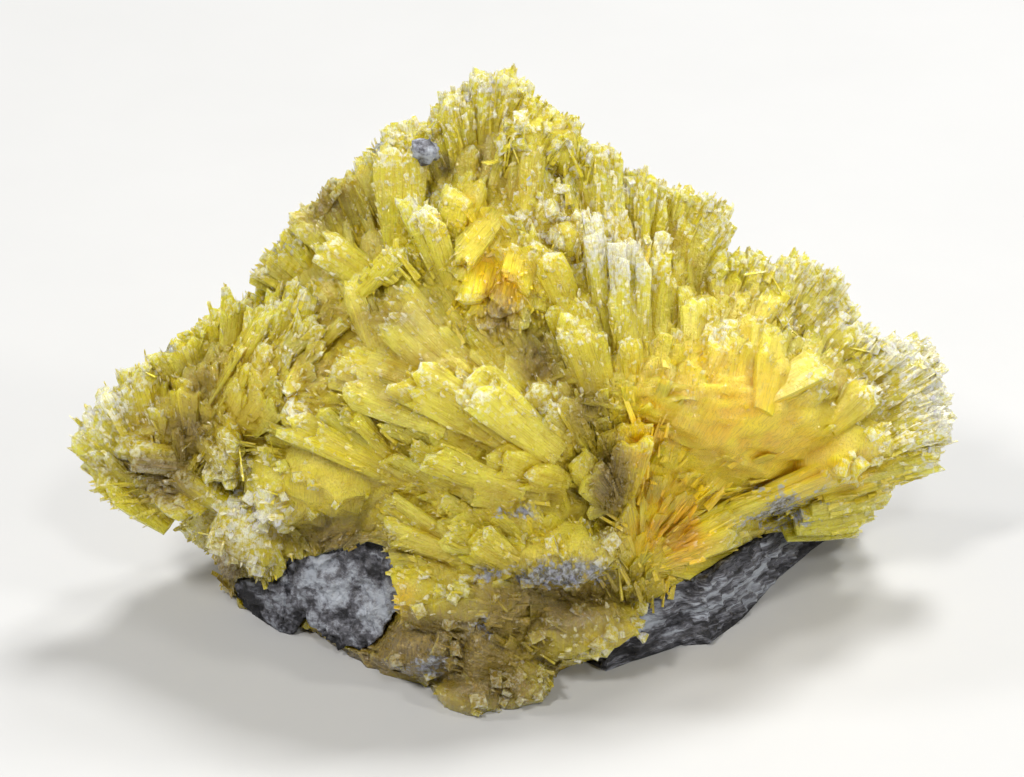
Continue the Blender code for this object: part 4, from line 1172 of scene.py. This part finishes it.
class Nodes:
    """Short ways to add and link the nodes of a material."""

    def __init__(self, name):
        self.material = bpy.data.materials.new(name)
        self.material.use_nodes = True
        self.tree = self.material.node_tree
        self.surface = self.tree.nodes["Principled BSDF"]

    def add(self, kind, **settings):
        node = self.tree.nodes.new(kind)
        for key, value in settings.items():
            if key in node.inputs:
                node.inputs[key].default_value = value
            else:
                setattr(node, key, value)
        return node

    def link(self, output, target):
        self.tree.links.new(output, target)

    def attribute(self, name):
        return self.add("ShaderNodeAttribute", attribute_name=name)

    def noise(self, vector, scale, detail=4.0, roughness=0.6):
        node = self.add("ShaderNodeTexNoise", Scale=scale, Detail=detail, Roughness=roughness)
        self.link(vector, node.inputs["Vector"])
        return node.outputs["Fac"]

    def stretch(self, vector, scale):
        node = self.add("ShaderNodeMapping")
        node.inputs["Scale"].default_value = scale
        self.link(vector, node.inputs["Vector"])
        return node.outputs["Vector"]

    def span(self, value, low, high, bottom=0.0, top=1.0):
        node = self.add("ShaderNodeMapRange")
        for number, part in enumerate((low, high, bottom, top), 1):
            node.inputs[number].default_value = part
        self.link(value, node.inputs[0])
        return node.outputs[0]

    def sum(self, operation, a, b):
        node = self.add("ShaderNodeMath", operation=operation)
        for number, part in enumerate((a, b)):
            if isinstance(part, (int, float)):
                node.inputs[number].default_value = part
            else:
                self.link(part, node.inputs[number])
        return node.outputs[0]

    def blend(self, share, a, b):
        node = self.add("ShaderNodeMix", data_type="RGBA")
        self.link(share, node.inputs[0])
        for number, part in ((6, a), (7, b)):
            if isinstance(part, tuple):
                node.inputs[number].default_value = (*part, 1.0)
            else:
                self.link(part, node.inputs[number])
        return node.outputs[2]

    def bump(self, height, strength, distance, normal=None):
        node = self.add("ShaderNodeBump", Strength=strength, Distance=distance)
        self.link(height, node.inputs["Height"])
        if normal:
            self.link(normal, node.inputs["Normal"])
        return node.outputs["Normal"]


def brucite_material(name, softness, clearness):
    """Glassy lemon to golden crystal, with painted shade low between the blades and on the olive patches, and
    a painted highlight, pale to near white, at the tips.
    """
    n = Nodes(name)
    grain = n.attribute("grain").outputs["Vector"]
    growth = n.add("ShaderNodeSeparateXYZ")
    n.link(n.attribute("growth").outputs["Vector"], growth.inputs[0])
    rise, tint, _ = growth.outputs
    zone = n.add("ShaderNodeSeparateColor")
    zone_attribute = n.attribute("zone")
    n.link(zone_attribute.outputs["Color"], zone.inputs[0])
    amber, olive, pale = zone.outputs
    rocky = zone_attribute.outputs["Alpha"]
    height = n.attribute("height").outputs["Fac"]
    place = n.add("ShaderNodeTexCoord").outputs["Object"]

    streaks = n.noise(n.stretch(grain, (3.2, 3.2, 0.16)), 1.0, 3.0, 0.7)
    striae = n.noise(n.stretch(grain, (9.0, 9.0, 0.35)), 1.0, 2.0, 0.7)
    mottle = n.noise(place, 260.0, 2.0, 0.65)
    grains = n.noise(place, 1800.0, 2.0, 0.6)

    lemon = n.blend(n.span(streaks, 0.35, 0.65), *LEMON)
    golden = n.blend(n.span(mottle, 0.40, 0.60), *GOLDEN)
    gold_share = n.span(n.sum("ADD", amber, n.span(mottle, 0.3, 0.7, -0.25, 0.25)), 0.15, 0.75)
    colour = n.blend(gold_share, lemon, golden)
    deep = n.span(n.sum("ADD", amber, n.span(streaks, 0.3, 0.7, -0.15, 0.15)), 0.78, 1.0, 0.0, 0.85)
    colour = n.blend(deep, colour, DEEP_AMBER)
    varied = n.blend(tint, *VARIED)
    variety = n.sum("MULTIPLY", n.span(tint, 0.0, 1.0, 0.15, 0.40), n.span(amber, 0.3, 0.8, 1.0, 0.3))
    colour = n.blend(variety, colour, varied)
    # Painted shade: darker, deeper colour where a place lies low between the blades, less of it in the amber
    # patches.
    hollow_shade = n.span(n.sum("ADD", height, n.span(mottle, 0.3, 0.7, -0.8, 0.8)), 1.8, -0.6, 0.0, 0.75)
    hollow_shade = n.sum("MULTIPLY", hollow_shade, n.span(amber, 0.0, 0.5, 1.0, 0.0))
    colour = n.blend(hollow_shade, colour, HOLLOW_PAINTED_SHADE)
    # Painted shade, partly real colour: the olive patches, over recesses and the lower parts of the front,
    # darken to a dull dark tone.
    brown_and_shade = n.blend(n.span(streaks, 0.35, 0.65), *BROWN_AND_SHADE)
    shade = n.span(n.sum("ADD", olive, n.span(streaks, 0.3, 0.7, -0.25, 0.25)), 0.10, 0.70)
    colour = n.blend(shade, colour, brown_and_shade)
    # Painted highlight, partly real paleness: the pale patches, the blade tips, places that stand out and
    # fine grains blend towards near white in place of glints, less of it in the olive and amber patches.
    light = n.sum("ADD", n.sum("MULTIPLY", pale, 0.8), n.span(rise, 0.75, 1.02, -0.15, 0.40))
    light = n.sum("ADD", light, n.span(height, 0.5, 3.0, -0.10, 0.20))
    light = n.sum("ADD", light, n.span(grains, 0.38, 0.62, -0.35, 0.35))
    light = n.sum("MULTIPLY", n.span(light, 0.30, 1.05), n.span(olive, 0.2, 0.9, 1.0, 0.25))
    light = n.sum("MULTIPLY", light, n.span(amber, 0.3, 0.8, 1.0, 0.45))
    colour = n.blend(light, colour, PALE_TIP_AND_HIGHLIGHT)
    lines = n.span(striae, 0.36, 0.52, 0.45, 0.0)
    colour = n.blend(lines, colour, DARK_LINE)
    broken = n.sum("ADD", n.span(mottle, 0.3, 0.7, -0.6, 0.6), n.span(grains, 0.3, 0.7, -0.35, 0.35))
    specks = n.span(n.sum("ADD", rocky, broken), 0.45, 0.80, 0.0, 0.85)
    specks = n.sum("MULTIPLY", specks, n.span(rocky, 0.10, 0.35))
    colour = n.blend(specks, colour, n.blend(n.span(grains, 0.4, 0.6), *SPECK_GREY))

    surface = n.surface
    n.link(colour, surface.inputs["Base Color"])
    n.link(n.span(mottle, 0.3, 0.7, 0.08, 0.25), surface.inputs["Roughness"])
    normal = n.bump(striae, 0.8, 0.00024)
    normal = n.bump(grains, 1.0, 0.00030, normal)
    n.link(n.span(amber, 0.35, 0.75, 1.0, 0.30), normal.node.inputs["Strength"])
    n.link(normal, surface.inputs["Normal"])
    n.link(normal, surface.inputs["Coat Normal"])
    n.link(n.span(amber, 0.3, 0.8, 0.6, 0.25), surface.inputs["Coat Weight"])
    surface.inputs["Coat Roughness"].default_value = 0.03
    surface.inputs["Coat IOR"].default_value = 1.6
    surface.inputs["IOR"].default_value = 1.57
    surface.inputs["Transmission Weight"].default_value = clearness
    surface.inputs["Subsurface Weight"].default_value = softness
    surface.inputs["Subsurface Radius"].default_value = (1.0, 0.90, 0.12)
    surface.inputs["Subsurface Scale"].default_value = 0.0030
    return n.material


def rock_material(name, streakiness):
    """Dark serpentinite with pale bluish-grey clouds, drawn out into streaks along its foliation."""
    n = Nodes(name)
    place = n.add("ShaderNodeTexCoord").outputs["Object"]
    band = n.attribute("band").outputs["Fac"]
    turned = n.add("ShaderNodeMapping")
    turned.inputs["Rotation"].default_value = (0.0, 0.0, -FOLIATION)
    n.link(place, turned.inputs["Vector"])
    foliated = n.stretch(turned.outputs["Vector"], (340.0 / streakiness, 340.0, 340.0 * streakiness))
    clouds = n.noise(foliated, 1.0, 5.0, 0.62)
    fine = n.noise(foliated, 5.0, 3.0, 0.65)
    both = n.sum("ADD", n.sum("MULTIPLY", clouds, 0.7), n.sum("MULTIPLY", fine, 0.3))
    paleness = n.sum("ADD", both, n.sum("MULTIPLY", band, 0.10))
    colour = n.blend(n.span(paleness, 0.46, 0.56), *ROCK_DARK)
    colour = n.blend(n.span(paleness, 0.54, 0.64, 0.0, 0.9), colour, ROCK_CLOUD)
    surface = n.surface
    n.link(colour, surface.inputs["Base Color"])
    n.link(n.span(fine, 0.3, 0.7, 0.40, 0.80), surface.inputs["Roughness"])
    n.link(n.bump(both, 0.9, 0.0008), surface.inputs["Normal"])
    return n.material


# ---------------------------------------------------------------- pieces

def dress(item, material):
    """Gives a piece its material, on the one body."""
    item.data.materials.clear()
    item.data.materials.append(material)
    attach(item, "root")


def core_shell(body, choices):
    """The body that the crystals grow on, roughened, as a shell."""
    roughen_body(body, choices)
    body.verts.index_update()
    points = [vert.co.copy() for vert in body.verts]
    faces = [tuple(vert.index for vert in face.verts) for face in body.faces]
    grain = [sheaf_grain(point, sheaf_at(point, choices)) for point in points]
    return Shell(points, faces, grain, [(0.2, 0.5, 0.0)] * len(points), True)


def build_crystals():
    """The crystals that grew together, as one piece, and the splinters that lie along them, as another."""
    choices = sheaves()
    draw = random.Random(CRYSTAL_SEED)
    detail = random.Random(DETAIL_SEED)
    body = bmesh.new()
    add_body(body)
    coarse = body.copy()
    bmesh.ops.triangulate(coarse, faces=coarse.faces)
    tree = BVHTree.FromBMesh(coarse)
    shells = surface_bundles(body, tree, choices, draw, detail)
    shells += fine_blades(coarse, tree, choices, detail)
    shells += edge_blades(choices, detail)
    shells += large_crystals(detail)
    shells += masses(detail)
    crystals = shell_object("crystals", core_shell(body, choices))
    show(crystals)
    grow_together(crystals, shells)
    cut_rooms(crystals)
    drop_loose_shells(crystals)
    fringe = shell_object("crystal_splinters", joined(splinters(crystals.data, choices, detail)))
    show(fringe)
    looks = ((crystals, brucite_material("brucite", 0.7, 0.10)),
             (fringe, brucite_material("brucite_splinter", 0.0, 0.0)))
    for piece, material in looks:
        paint_zones(piece.data)
        paint_heights(piece.data, tree)
        dress(piece, material)
    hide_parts("brucite_crystals")


def build_rock(node, name, material):
    """A rock remnant, its faces broken up finely."""
    mesh = frame["nodes"][node].data.copy()
    item = bpy.data.objects.new(name, mesh)
    show(item)
    bm = bmesh.new()
    bm.from_mesh(mesh)
    bmesh.ops.remove_doubles(bm, verts=bm.verts, dist=1e-6)
    bmesh.ops.triangulate(bm, faces=bm.faces)
    for _ in range(ROCK_CUTS):
        long_edges = [edge for edge in bm.edges if edge.calc_length() > ROCK_EDGE * MILLIMETRE]
        if not long_edges:
            break
        bmesh.ops.subdivide_edges(bm, edges=long_edges, cuts=1)
        bmesh.ops.triangulate(bm, faces=bm.faces)
    bm.normal_update()
    low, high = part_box(node)
    for vert in bm.verts:
        height = noise.fractal(vert.co / MILLIMETRE * 0.6, 0.6, 2.1, 6) * ROCK_ROUGHNESS - ROCK_SINKING
        if vert.co.z > ROCK_FOOT * MILLIMETRE:
            vert.co += vert.normal * height * MILLIMETRE
            vert.co.z = max(vert.co.z, ROCK_LOWEST * MILLIMETRE)
    for face in bm.faces:
        face.smooth = True
    bm.to_mesh(mesh)
    bm.free()
    layer = mesh.attributes.new("band", "FLOAT", "POINT")
    middle = 0.5 * (low.z + high.z)
    layer.data.foreach_set("value", [math.exp(-((vert.co.z - middle) / (ROCK_BAND * (high.z - low.z))) ** 2)
                                     for vert in mesh.vertices])
    dress(item, material)
    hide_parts(node)


def build_rocks():
    """The three remnants of rock."""
    for node, streakiness in ROCKS.items():
        name = node.replace("matrix_", "rock_")
        build_rock(node, name, rock_material(name, streakiness))


# ---------------------------------------------------------------- floor, lights and camera

def build_floor():
    """A plain pale floor."""
    bm = bmesh.new()
    bmesh.ops.create_grid(bm, x_segments=8, y_segments=8, size=FLOOR_SIZE)
    mesh = bpy.data.meshes.new("floor")
    bm.to_mesh(mesh)
    bm.free()
    floor = bpy.data.objects.new("floor", mesh)
    show(floor)
    n = Nodes("floor_paper")
    place = n.add("ShaderNodeTexCoord").outputs["Object"]
    n.link(n.blend(n.noise(place, 40.0), *PAPER), n.surface.inputs["Base Color"])
    n.surface.inputs["Roughness"].default_value = 0.7
    mesh.materials.append(n.material)


def add_light(name, place, size, power, colour):
    """A soft square light that faces the specimen."""
    light = bpy.data.lights.new(name, "AREA")
    light.size = size
    light.energy = power
    light.color = colour
    item = bpy.data.objects.new(name, light)
    show(item)
    item.location = place
    item.rotation_euler = (Vector(LIGHT_TARGET) - Vector(place)).to_track_quat("-Z", "Y").to_euler()


def build_lights():
    """Soft light from above and from all round."""
    for light in LIGHTS:
        add_light(*light)
    world = bpy.data.worlds.new("studio")
    world.use_nodes = True
    background = world.node_tree.nodes["Background"]
    background.inputs["Color"].default_value = DAYLIGHT
    background.inputs["Strength"].default_value = DAYLIGHT_STRENGTH
    bpy.context.scene.world = world


def build_camera():
    """A long lens that looks square at the leaning face."""
    camera = bpy.data.cameras.new("camera")
    camera.lens = LENS
    camera.sensor_width = SENSOR
    camera.clip_start = 0.01
    camera.clip_end = 20.0
    item = bpy.data.objects.new("camera", camera)
    show(item)
    distance = VIEW_WIDTH * LENS / SENSOR
    across, up, out = VIEW_CENTRE
    item.location = face_point(across, up, out + distance) * MILLIMETRE
    item.rotation_euler = (math.pi / 2 - LEAN, 0.0, 0.0)
    bpy.context.scene.camera = item


build_crystals()
build_rocks()
build_floor()
build_lights()
build_camera()
bpy.context.scene.view_settings.view_transform = "Standard"
